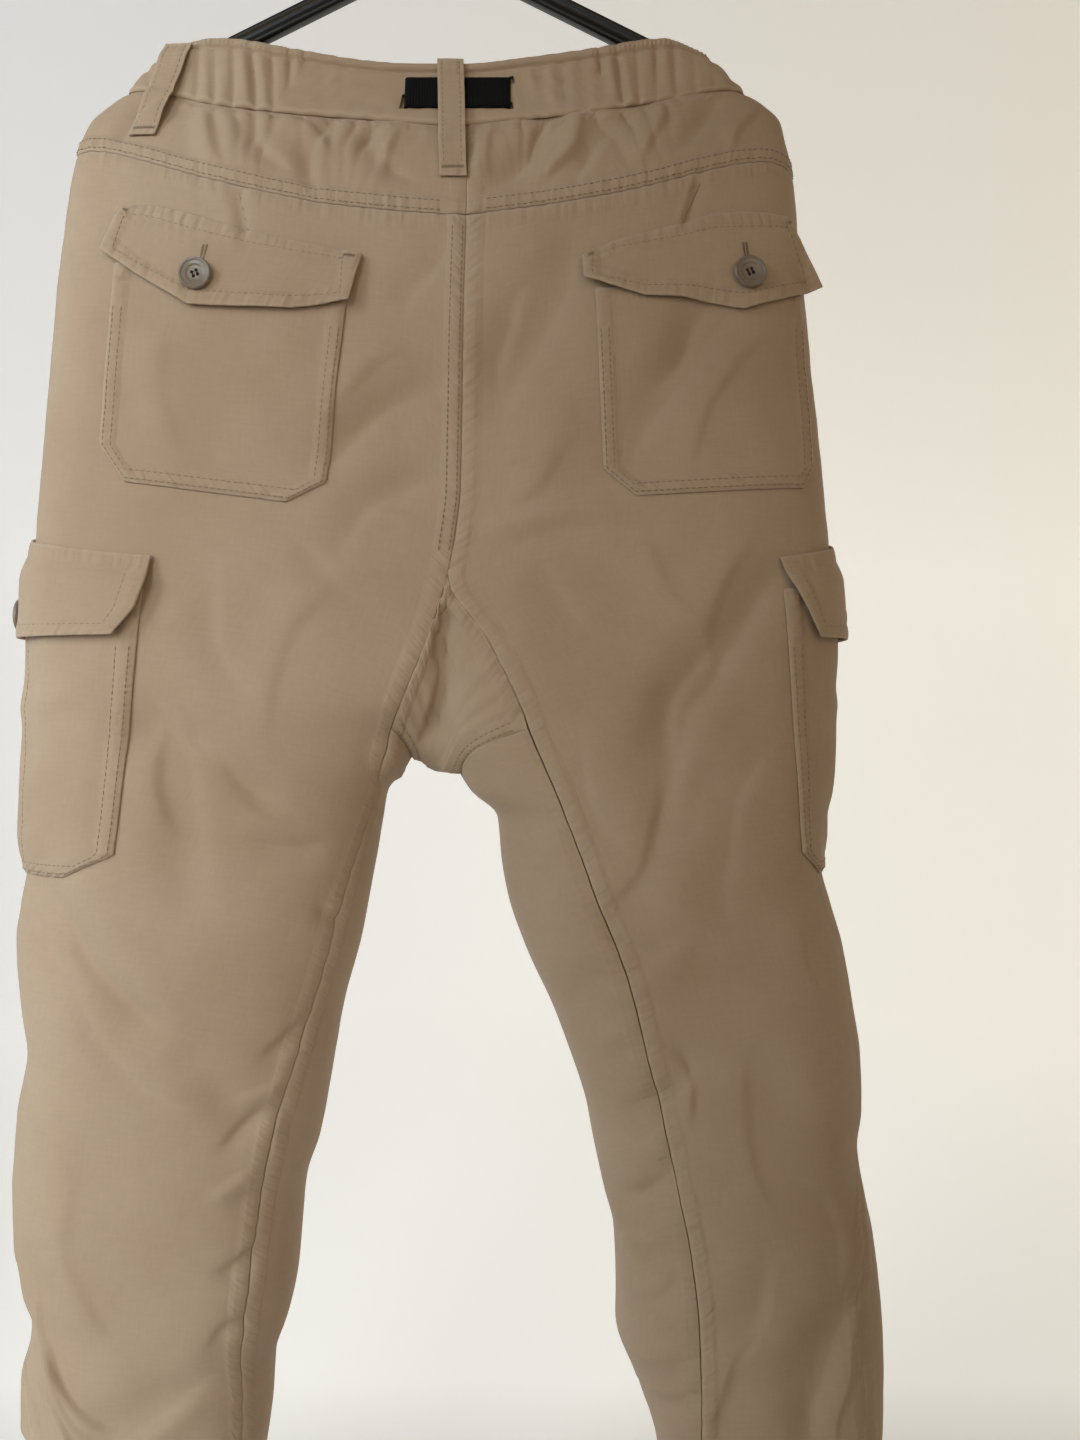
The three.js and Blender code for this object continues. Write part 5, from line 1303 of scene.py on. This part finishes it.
for side in (LEFT, RIGHT):
    along, down = grid_uv(fine_ends(96, (0.005, 0.011, 0.019)), fine_ends(84, (0.005, 0.011, 0.018)))
    points, normals = cargo_point(side, along, down)
    name = f"cargo_pocket_{side.name}"
    sheets[name] = dress(cloth_mesh(f"{name}_patch", points, normals, POCKET_WALL), khaki_twill,
                         "khaki_cloth", name)
    along, down = grid_uv(fine_ends(90, (0.005, 0.011, 0.019)), fine_ends(26, (0.015, 0.03, 0.05)))
    points, normals = cargo_flap_point(side, along, down)
    name = f"cargo_flap_{side.name}"
    sheets[name] = dress(cloth_mesh(f"{name}_piece", points, normals, FLAP_WALL), khaki_twill,
                         "khaki_cloth", name)
    on_body = lambda a, d, side=side: cargo_point(side, a, d)
    on_flap = lambda a, d, side=side: cargo_flap_point(side, a, d)
    for inset_a, inset_d in ((0.044, 0.041), (0.014, 0.013)):
        sew_on(on_body, [(inset_a, 0.2), (inset_a, 0.93), (inset_a, 1 - inset_d), (1 - inset_a, 1 - inset_d),
                         (1 - inset_a, 0.93), (1 - inset_a, 0.2)], POCKET_WALL / 2)
    for line in (0.415, 0.585):
        sew_on(on_body, [(line, 0.2), (line, 0.955)], POCKET_WALL / 2)
    sew_on(on_flap, [(0.04, 0.1), (0.04, 0.87), (0.96, 0.87), (0.96, 0.1)], FLAP_WALL / 2)
    sew_on(on_flap, [(0.01, 0.145), (0.99, 0.145)], FLAP_WALL / 2)

# %% [markdown]
# ## Belt loops and fly
# A loop is a folded strap, bartacked at its lower end, with a row of stitches along each edge. The fly shows as a
# stitched strip on the right of the centre front.

# %% Belt loops
LOOP_WIDTH = 15.0
LOOP_WALL = 1.2
OVER_GATHERS = BAND_WALL / 2 + 2.6
OVER_BELT = BELT_LIFT + 0.8 + 0.6 + 0.5
# name, side, face, top x, bottom x, top z, bottom z, lift at the top, lift along the band
LOOPS = [
    ("back_centre", LEFT, BACK, 8.5, 11.5, -163, -238, OVER_GATHERS, OVER_BELT),
    ("side_left", LEFT, BACK, -147, -164, -153, -212, OVER_GATHERS, 5.6),
    ("side_right", RIGHT, FRONT, 146, 188, -154, -214, 3.2, 5.0),
    ("front_left", LEFT, FRONT, -86, -92, -156, -214, OVER_GATHERS, 5.6),
    ("front_right", RIGHT, FRONT, 100, 108, -156, -214, OVER_GATHERS, 5.6),
]


def loop_point(loop, part, down, lift=0):
    """A place on a strap: part goes across it and down goes along it."""
    _, side, face, top_x, low_x, top_z, low_z, start, stand = loop
    z = mix(top_z, low_z, down)
    x = mix(top_x, low_x, down) + (part - 0.5) * LOOP_WIDTH
    standing = mix(start, stand, smooth(0, 0.15, down))
    height = mix(standing, 2.05, smooth(0.72, 0.95, down))
    height = height - 0.35 * bump(np.abs(part - 0.5) - 0.5, 0.06) - 0.25 * bump(np.abs(part - 0.5) - 0.34, 0.05)
    height = height + 0.15 * ripple(x, z, 12, 91)
    point, normal = place_at(side, x, z, face, height + lift)
    if side is LEFT and face == BACK and top_x > 0:
        other, other_normal = place_at(RIGHT, x, z, face, height + lift)
        past = (x > CENTRE)[..., None]
        point, normal = np.where(past, other, point), np.where(past, other_normal, normal)
    return point, normal


for loop in LOOPS:
    part, down = grid_uv(fine_ends(15, (0.02, 0.05, 0.09)), fine_ends(60, (0.005, 0.012, 0.02)))
    points, normals = loop_point(loop, part, down)
    name = f"loop_{loop[0]}"
    sheets[name] = dress(cloth_mesh(f"{name}_strap", points, normals, LOOP_WALL), khaki_twill,
                         "khaki_cloth", name)
    on_loop = lambda p, d, loop=loop: loop_point(loop, p, d)
    for part in (0.17, 0.83):
        sew_on(on_loop, [(part, 0.02), (part, 0.9)], LOOP_WALL / 2)
    sew_on(on_loop, [(0.08, 0.93), (0.92, 0.93)], LOOP_WALL / 2, **BARTACK)

# %% Fly
FLY = {"top": -212, "bottom": -352, "inner": 20.5, "outer": 56, "narrow": 26.5, "round_from": 0.72}


def fly_point(along, down, lift=0):
    turned = np.clip((down - FLY["round_from"]) / (1 - FLY["round_from"]), 0, 1)
    edge = mix(FLY["narrow"], FLY["outer"], np.sqrt(np.maximum(0.02, 1 - turned ** 2)))
    z = mix(FLY["top"], FLY["bottom"], down)
    border = (1 - along) * 35
    height = mix(1.0, 2.0, smooth(0, 3, border)) - 0.25 * bump(border - 5, 0.8)
    return place_at(RIGHT, mix(FLY["inner"], edge, along), z, FRONT, height + lift)


along, down = grid_uv(fine_ends(20), fine_ends(60))
points, normals = fly_point(along, down)
sheets["fly"] = dress(cloth_mesh("fly_strip", points, normals, 1.0), khaki_twill, "khaki_cloth", "fly")
sew_on(fly_point, [(0.86, 0.0), (0.86, 0.98)], 0.5)
sew_on(fly_point, [(0.68, 0.0), (0.68, 0.96)], 0.5)

# %% [markdown]
# ## Buttons
# Moulded four-hole buttons of 18 mm with a dished middle and a raised rim, sewn with dark thread. The ring
# between rim and dish is left plain. Each one is turned on the flap's own normal.

# %% Buttons
BUTTON_RADIUS = 9.0
HOLE_RADIUS = 0.95
HOLE_OFFSET = 1.75


def lathe(profile, count):
    """Points of a profile (radius, height) turned round the z axis."""
    turn = np.linspace(0, 2 * math.pi, count, endpoint=False)
    radius, height = np.array(profile, float).T
    x = radius[None] * np.cos(turn)[:, None]
    y = radius[None] * np.sin(turn)[:, None]
    return np.stack([x, y, np.broadcast_to(height, x.shape)], -1)


def button_parts():
    """The button as a closed lathe of its profile: a raised rim round a dished middle."""
    edge = [(0, 0), (7.4, 0), (8.4, 0.35), (9.0, 1.2), (9.0, 2.0), (8.75, 2.6), (8.2, 2.95), (7.7, 2.9),
            (7.3, 2.5), (6.9, 2.35), (5.6, 2.3), (5.1, 2.15), (4.7, 1.8), (4.2, 1.65), (3.2, 1.6), (0, 1.6)]
    points = lathe(edge, 64)
    x, y, z = np.moveaxis(points, -1, 0)
    return points


def frame_of(normal):
    """Two directions across a normal, the first as level as it can be."""
    normal = normal / np.linalg.norm(normal)
    first = np.cross([0, 0, 1.0], normal)
    first /= np.linalg.norm(first)
    return first, np.cross(normal, first), normal


def place_local(points, seat, normal, spin):
    first, second, third = frame_of(normal)
    turned = points.copy()
    turned[..., 0] = points[..., 0] * math.cos(spin) - points[..., 1] * math.sin(spin)
    turned[..., 1] = points[..., 0] * math.sin(spin) + points[..., 1] * math.cos(spin)
    return seat + turned[..., :1] * first + turned[..., 1:2] * second + turned[..., 2:] * third


def add_button(name, seat, normal, spin, node):
    points = button_parts()
    local = place_local(points, seat, normal, spin)
    count, rings = local.shape[:2]
    number = np.arange(count * rings).reshape(count, rings)
    after = np.roll(number, -1, 0)
    quads = np.stack([number[:, :-1], after[:, :-1], after[:, 1:], number[:, 1:]], -1).reshape(-1, 4)
    mesh = bpy.data.meshes.new(name)
    mesh.from_pydata((local.reshape(-1, 3) * MM).tolist(), [], quads.tolist())
    piece = bpy.data.objects.new(name, mesh)
    bpy.context.scene.collection.objects.link(piece)
    merge_and_turn(mesh)
    cutters = [place_local(lathe([(0, -1), (HOLE_RADIUS, -1), (HOLE_RADIUS, 5), (0, 5)], 20)
                           + np.array([sx * HOLE_OFFSET * 0.72, sy * HOLE_OFFSET * 0.72, 0]),
                           seat, normal, spin) for sx in (-1, 1) for sy in (-1, 1)]
    cut_holes(piece, cutters)
    dress(piece, button_plastic, "brown_button", node)
    bars = []
    for sx in (-1, 1):
        t = np.linspace(-1, 1, 9)
        across_bar = np.stack([np.full_like(t, sx * HOLE_OFFSET * 0.72), t * HOLE_OFFSET * 0.72,
                               1.55 + 0.35 * (1 - t ** 4)], -1)
        bars.append(place_local(across_bar, seat, normal, spin))
    return bars


def merge_and_turn(mesh):
    import bmesh
    work = bmesh.new()
    work.from_mesh(mesh)
    bmesh.ops.remove_doubles(work, verts=work.verts, dist=1e-7)
    bmesh.ops.recalc_face_normals(work, faces=work.faces)
    for face in work.faces:
        face.smooth = True
    work.to_mesh(mesh)
    work.free()


def cut_holes(piece, cutters):
    """Take closed lathed pegs out of a piece with one exact boolean each, applied at once."""
    for k, points in enumerate(cutters):
        count, rings = points.shape[:2]
        number = np.arange(count * rings).reshape(count, rings)
        after = np.roll(number, -1, 0)
        quads = np.stack([number[:, :-1], after[:, :-1], after[:, 1:], number[:, 1:]], -1).reshape(-1, 4)
        mesh = bpy.data.meshes.new(f"peg_{k}")
        mesh.from_pydata((points.reshape(-1, 3) * MM).tolist(), [], quads.tolist())
        merge_and_turn(mesh)
        peg = bpy.data.objects.new(f"peg_{k}", mesh)
        bpy.context.scene.collection.objects.link(peg)
        cut = piece.modifiers.new("hole", "BOOLEAN")
        cut.operation = "DIFFERENCE"
        cut.solver = "EXACT"
        cut.object = peg
        bpy.context.view_layer.update()
        depsgraph = bpy.context.evaluated_depsgraph_get()
        result = bpy.data.meshes.new_from_object(piece.evaluated_get(depsgraph))
        piece.modifiers.clear()
        piece.data = result
        bpy.data.objects.remove(peg)
    for polygon in piece.data.polygons:
        polygon.use_smooth = True
    piece.data.set_sharp_from_angle(angle=math.radians(35))


def tube(name, paths, radius, material, slot, *nodes):
    """Round wires along one or more point paths, as one mesh: a ring of eight points at each path point."""
    all_points, all_quads, start = [], [], 0
    turn = np.linspace(0, 2 * math.pi, 8, endpoint=False)
    for path in paths:
        ahead = np.gradient(path, axis=0)
        ahead /= np.linalg.norm(ahead, axis=1, keepdims=True)
        guide = np.array([0, 1.0, 0]) if abs(ahead[:, 1]).max() < 0.9 else np.array([1.0, 0, 0])
        first = np.cross(ahead, guide)
        first /= np.linalg.norm(first, axis=1, keepdims=True)
        second = np.cross(ahead, first)
        taper = np.minimum(1, np.sqrt(np.clip(np.minimum(np.arange(len(path)), np.arange(len(path))[::-1]) / 1.5
                                              + 0.05, 0, 1)))
        ring = (path[:, None] + radius * taper[:, None, None] * (
            np.cos(turn)[None, :, None] * first[:, None] + np.sin(turn)[None, :, None] * second[:, None]))
        count = len(path)
        number = start + np.arange(count * 8).reshape(count, 8)
        after = np.roll(number, -1, 1)
        all_quads.append(np.stack([number[:-1], after[:-1], after[1:], number[1:]], -1).reshape(-1, 4))
        all_points.append(ring.reshape(-1, 3))
        start += count * 8
    points = np.concatenate(all_points)
    quads = np.concatenate(all_quads).tolist()
    ends = []
    offset = 0
    for path in paths:
        ends.append(list(range(offset, offset + 8)))
        ends.append([offset + (len(path) - 1) * 8 + k for k in reversed(range(8))])
        offset += len(path) * 8
    mesh = bpy.data.meshes.new(name)
    mesh.from_pydata((points * MM).tolist(), [], quads + ends)
    merge_and_turn(mesh)
    piece = bpy.data.objects.new(name, mesh)
    bpy.context.scene.collection.objects.link(piece)
    return dress(piece, material, slot, *nodes)


thread_bars = []
for side in (LEFT, RIGHT):
    pocket = BACK_POCKETS[side.name]
    x, z = (np.array([value], float) for value in pocket["button"])
    point, normal = place_at(side, x, z, BACK, flap_lift(0.63) + FLAP_WALL / 2 + 1.0)
    thread_bars += add_button(f"button_back_{side.name}", point[0], normal[0], math.radians(25),
                              f"back_button_{side.name}")
    pocket = CARGO_SIDES[side.name]
    angle = np.array([math.radians(pocket["button"])])
    point, normal = cloth_point(side, angle, np.array([float(CARGO["button"])]),
                                flap_lift(0.75) + CARGO["full"] + CARGO["pleat"] + FLAP_WALL / 2 + 1.0)
    thread_bars += add_button(f"button_cargo_{side.name}", point[0], normal[0], math.radians(10),
                              f"cargo_button_{side.name}")
tube("button_threads", thread_bars, 0.45, dark_thread, "khaki_cloth")

# %% [markdown]
# ## Topstitching on the panels
# Rows of stitches hold the felled seams: above the yoke seam, left of the centre seam, at the hems and
# on the lower seams of the gusset.

# %% Topstitching


def sew_across(side, seam, shift, lift, from_share=0.01, to_share=0.99, face_from=None):
    t = np.linspace(from_share, to_share, 400)
    start = back_inner(side, np.float64(-250))
    angle = mix(start, outseam(side, np.float64(-230)), t)
    z = seam_level(side, seam, angle, shift)
    sew(*cloth_point(side, angle, z), lift)


for side in (LEFT, RIGHT):
    sew_across(side, yoke_seam, 7.4, 0.5 + PANEL_WALL / 2)
    sew_across(side, yoke_seam, 1.8, 0.35 + PANEL_WALL / 2)
    t = np.linspace(0, 1, 500)
    for shift in (18.0,):
        z = np.full_like(t, HEM + shift)
        angle = mix(back_inner(side, z), outseam(side, z), t)
        sew(*cloth_point(side, angle, z), PANEL_WALL / 2)
        angle = mix(outseam(side, z), 2 * math.pi + back_inner(side, z) - 0.02, t)
        sew(*cloth_point(side, angle, z), PANEL_WALL / 2)
t = np.linspace(0, 1, 400)
for shift in (1.8, 7.6):
    z = mix(-266, -448, t)
    angle = angle_at(LEFT, LEFT.inner_seam(z) - shift, z, BACK)
    sew(*cloth_point(LEFT, angle, z), 0.5 + PANEL_WALL / 2)
for side, (x1, z1, x2, z2) in ((LEFT, (-108, -246, -101, -272)), (RIGHT, (149, -241, 138, -266))):
    t = np.linspace(0, 1, 40)
    x, z = mix(x1, x2, t), mix(z1, z2, t)
    sew(*place_at(side, x, z, BACK, 0.1), PANEL_WALL / 2, pitch=1.6, length=1.7)
sewn = sewn_mesh("topstitching", stitch_lines, thread_darkened_for_groove_shade)
print("stitches:", sum(len(line[0]) for line in stitch_lines), "triangles:", len(sewn.data.polygons))

# %% [markdown]
# ## Coat hanger
# One moulded piece in glossy black plastic: two arms with a groove along both faces and a round neck, and a
# bent wire hook that is pushed into the neck.

# %% Coat hanger
HANGER = {"top": -81.5, "slope": math.radians(26.5), "height": 11.0, "thick": 9.0}
HOOK = {"wire": 1.75, "inside": 20.0, "stem": (-90, -52)}


def arm_path():
    """Straight along the slope, then curved down to the tip."""
    drop = HANGER["height"] / 2 / math.cos(HANGER["slope"])
    x = np.linspace(0, 152, 40)
    straight = np.stack([x, HANGER["top"] - drop - math.tan(HANGER["slope"]) * x], -1)
    bend = curve_through([(152, straight[-1, 1]), (170, -179 + 4.0), (184, -189.5), (192, -201)])
    x = np.linspace(152, 192, 24)[1:]
    return np.concatenate([straight, np.stack([x, bend(x)], -1)])


def arm_section():
    """A rounded upright bar with a groove along the middle of each face."""
    turn = np.linspace(0, 2 * math.pi, 48, endpoint=False)
    up = HANGER["height"] / 2 * np.sign(np.sin(turn)) * np.abs(np.sin(turn)) ** 0.5
    deep = HANGER["thick"] / 2 * np.sign(np.cos(turn)) * np.abs(np.cos(turn)) ** 0.5
    groove = 1 - 0.42 * bump(up, 2.0) * (np.abs(np.cos(turn)) > 0.2)
    return up, deep * groove


def hanger_arm(sign):
    path = arm_path()
    ahead = np.gradient(path, axis=0)
    ahead /= np.linalg.norm(ahead, axis=1, keepdims=True)
    up, deep = arm_section()
    taper = np.ones(len(path))
    taper[-4:] = [0.97, 0.88, 0.7, 0.35]
    x = path[:, :1] - ahead[:, 1:] * up[None] * taper[:, None]
    z = path[:, 1:] + ahead[:, :1] * up[None] * taper[:, None]
    y = np.broadcast_to(deep[None], x.shape) * taper[:, None]
    return np.stack([sign * x, y, z], -1)


def closed_loft(name, rings):
    count, around = rings.shape[:2]
    number = np.arange(count * around).reshape(count, around)
    after = np.roll(number, -1, 1)
    quads = np.stack([number[:-1], after[:-1], after[1:], number[1:]], -1).reshape(-1, 4).tolist()
    caps = [number[0].tolist(), number[-1][::-1].tolist()]
    mesh = bpy.data.meshes.new(name)
    mesh.from_pydata((rings.reshape(-1, 3) * MM).tolist(), [], quads + caps)
    merge_and_turn(mesh)
    piece = bpy.data.objects.new(name, mesh)
    bpy.context.scene.collection.objects.link(piece)
    return piece


for sign, name in ((-1, "hanger_arm_left"), (1, "hanger_arm_right")):
    arm = closed_loft(name, hanger_arm(sign))
    dress(arm, hanger_plastic, "black_plastic", *(["hanger"] if sign < 0 else []))
neck_profile = [(0.0, -98.0), (8.2, -98.0), (9.0, -97.0), (9.0, -92.0), (7.6, -80.0), (7.0, -73.0),
                (6.2, -71.6), (2.4, -71.5), (2.2, -72.5), (0.0, -72.5)]
neck = closed_loft("hanger_neck", lathe(neck_profile, 48).transpose(1, 0, 2)[1:-1])
dress(neck, hanger_plastic, "black_plastic")

radius = HOOK["inside"] + HOOK["wire"]
turn = np.radians(np.linspace(-50, 205, 70))
bend = np.stack([radius * np.cos(turn), np.zeros(70), radius * np.sin(turn) - HOOK["inside"]], -1)
stem = np.stack([np.zeros(12), np.zeros(12), np.linspace(-89, -56, 12)], -1)
join = np.linspace(0, 1, 14)[1:-1, None]
start, end = stem[-1], bend[0]
lead = end - np.array([4.0, 0, 4.5])
blend_in = (1 - join) ** 3 * start + 3 * (1 - join) ** 2 * join * (start + [0, 0, 7])
blend_in = blend_in + 3 * (1 - join) * join ** 2 * lead + join ** 3 * end
tube("hook_wire", [np.concatenate([stem, blend_in, bend])], HOOK["wire"], zinc_wire, "hook_steel", "hook")

# %% Nodes that keep their own shape
for node, material in (("buckle", buckle_plastic),):
    thing = frame["nodes"][node] if isinstance(frame["nodes"], dict) else bpy.data.objects[node]
    thing = thing if isinstance(thing, bpy.types.Object) else bpy.data.objects[node]
    for k in range(max(1, len(thing.material_slots))):
        if thing.material_slots:
            thing.material_slots[k].material = material
        else:
            thing.data.materials.append(material)

# %% [markdown]
# ## The cloth as it was cut
# The size of each piece's flat cut and its area are printed, the area kept within its rectangle where the cut
# isn't one. The area is worked out from the mesh's own middle surface.


def flat_size(piece):
    """Width, length and area of a piece's middle surface, from its UV map in millimetres."""
    mesh = piece.data
    uv = np.empty(len(mesh.loops) * 2, np.float32)
    mesh.uv_layers["cloth"].data.foreach_get("uv", uv)
    uv = uv.reshape(-1, 2)
    width, length = (np.ptp(uv, axis=0) * MM).tolist()
    area = np.empty(len(mesh.polygons), np.float32)
    mesh.polygons.foreach_get("area", area)
    return width, length, float(area.sum())


for name, piece in sheets.items():
    width, length, area = flat_size(piece)
    held = "hung"
    if name == "waistband":
        # a folded strip: the mesh goes round both of its faces, and its cut shows once
        held, length, area = "gathered", length / 2, area / 2
    area = min(max(area, 0.31 * width * length), width * length)
    print(f"{name}: {width:.3f} x {length:.3f} m, {area:.4f} m2")

# %% [markdown]
# ## Floor, wall and light
# A pale floor sweeps up into a wall all round, well away from the garment. Its back half glows as painted
# light, cool on the left and warm on the right. The main light is a large soft one from the left, with a weak
# warm one from the right.

# %% Stage and lights


def sweep_material():
    material, tree, shader = new_material("pale_painted_sweep")
    place = add_node(tree, "ShaderNodeTexCoord").outputs["Object"]
    grain = add_node(tree, "ShaderNodeTexNoise", values={"Scale": 1.2, "Detail": 2},
                     links={"Vector": place}).outputs["Fac"]
    colour = add_node(tree, "ShaderNodeMix", {"data_type": "RGBA"},
                      {6: linear("#ECEBE7"), 7: linear("#E6E4DE")}, {0: grain}).outputs[2]
    tree.links.new(colour, shader.inputs["Base Color"])
    # The back half of the sweep glows, though it is no lamp: painted light on the wall that also lights the garment
    # from behind. Its tint is painted cool on the left and warm on the right.
    axes = add_node(tree, "ShaderNodeSeparateXYZ", links={"Vector": place})
    glow = add_node(tree, "ShaderNodeMapRange",
                    values={"From Min": 0.1, "From Max": 0.5, "To Min": 0.0, "To Max": 0.46},
                    links={"Value": axes.outputs["Y"]}).outputs["Result"]
    tree.links.new(glow, shader.inputs["Emission Strength"])
    across_wall = add_node(tree, "ShaderNodeMapRange", values={"From Min": -1.6, "From Max": 1.8},
                           links={"Value": axes.outputs["X"]}).outputs["Result"]
    painted_light_tint = add_node(tree, "ShaderNodeMix", {"data_type": "RGBA"},
                    {6: linear("#F2F7FF"), 7: linear("#F3EBDA")}, {0: across_wall}).outputs[2]
    tree.links.new(painted_light_tint, shader.inputs["Emission Color"])
    shader.inputs["Roughness"].default_value = 0.9
    return material


def make_sweep():
    """A floor disc that curves up into a round wall, open at the top."""
    radius, fillet, floor_z, top = 3.2, 1.1, -1.2, 2.4
    t = np.linspace(0, math.pi / 2, 24)
    profile = [(0.0, floor_z), (1.0, floor_z)]
    profile += [(radius - fillet + fillet * math.sin(a), floor_z + fillet - fillet * math.cos(a)) for a in t]
    profile += [(radius, top)]
    points = lathe(profile, 96)
    count, rings = points.shape[:2]
    number = np.arange(count * rings).reshape(count, rings)
    after = np.roll(number, -1, 0)
    quads = np.stack([number[:, :-1], after[:, :-1], after[:, 1:], number[:, 1:]], -1).reshape(-1, 4)
    mesh = bpy.data.meshes.new("sweep")
    mesh.from_pydata(points.reshape(-1, 3).tolist(), [], quads.tolist())
    merge_and_turn(mesh)
    sweep = bpy.data.objects.new("sweep", mesh)
    bpy.context.scene.collection.objects.link(sweep)
    mesh.materials.append(sweep_material())


def area_light(name, place, target, size, power, colour, spread=180):
    from mathutils import Vector
    lamp = bpy.data.lights.new(name, "AREA")
    lamp.shape = "RECTANGLE"
    lamp.size, lamp.size_y = size
    lamp.energy = power
    lamp.color = colour
    lamp.spread = math.radians(spread)
    light = bpy.data.objects.new(name, lamp)
    light.location = place
    light.rotation_euler = (Vector(target) - Vector(place)).to_track_quat("-Z", "Y").to_euler()
    light.visible_camera = False
    bpy.context.scene.collection.objects.link(light)


make_sweep()
area_light("window_side", (-1.1, -0.7, -0.45), (-0.45, 0.0, -0.75), (0.5, 2.0), 3.3, (0.8, 0.92, 1.0), 60)
area_light("window_front", (-0.62, -1.3, -0.6), (-0.44, 0.0, -0.85), (0.5, 2.0), 2.6, (0.85, 0.94, 1.0), 50)
area_light("wall_bounce", (0.5, -0.9, -0.85), (-0.17, 0.0, -0.8), (0.3, 1.0), 0.08, (0.95, 0.97, 1.0), 40)
area_light("room_right", (0.6, -1.8, -0.1), (0.08, 0, -0.3), (1.2, 1.0), 0.65, (1.0, 0.76, 0.48), 60)
world = bpy.data.worlds.new("soft_room")
world.use_nodes = True
world.node_tree.nodes["Background"].inputs["Color"].default_value = linear("#F6DFBE")
world.node_tree.nodes["Background"].inputs["Strength"].default_value = 0.15
bpy.context.scene.world = world
bpy.context.scene.view_settings.view_transform = "Standard"
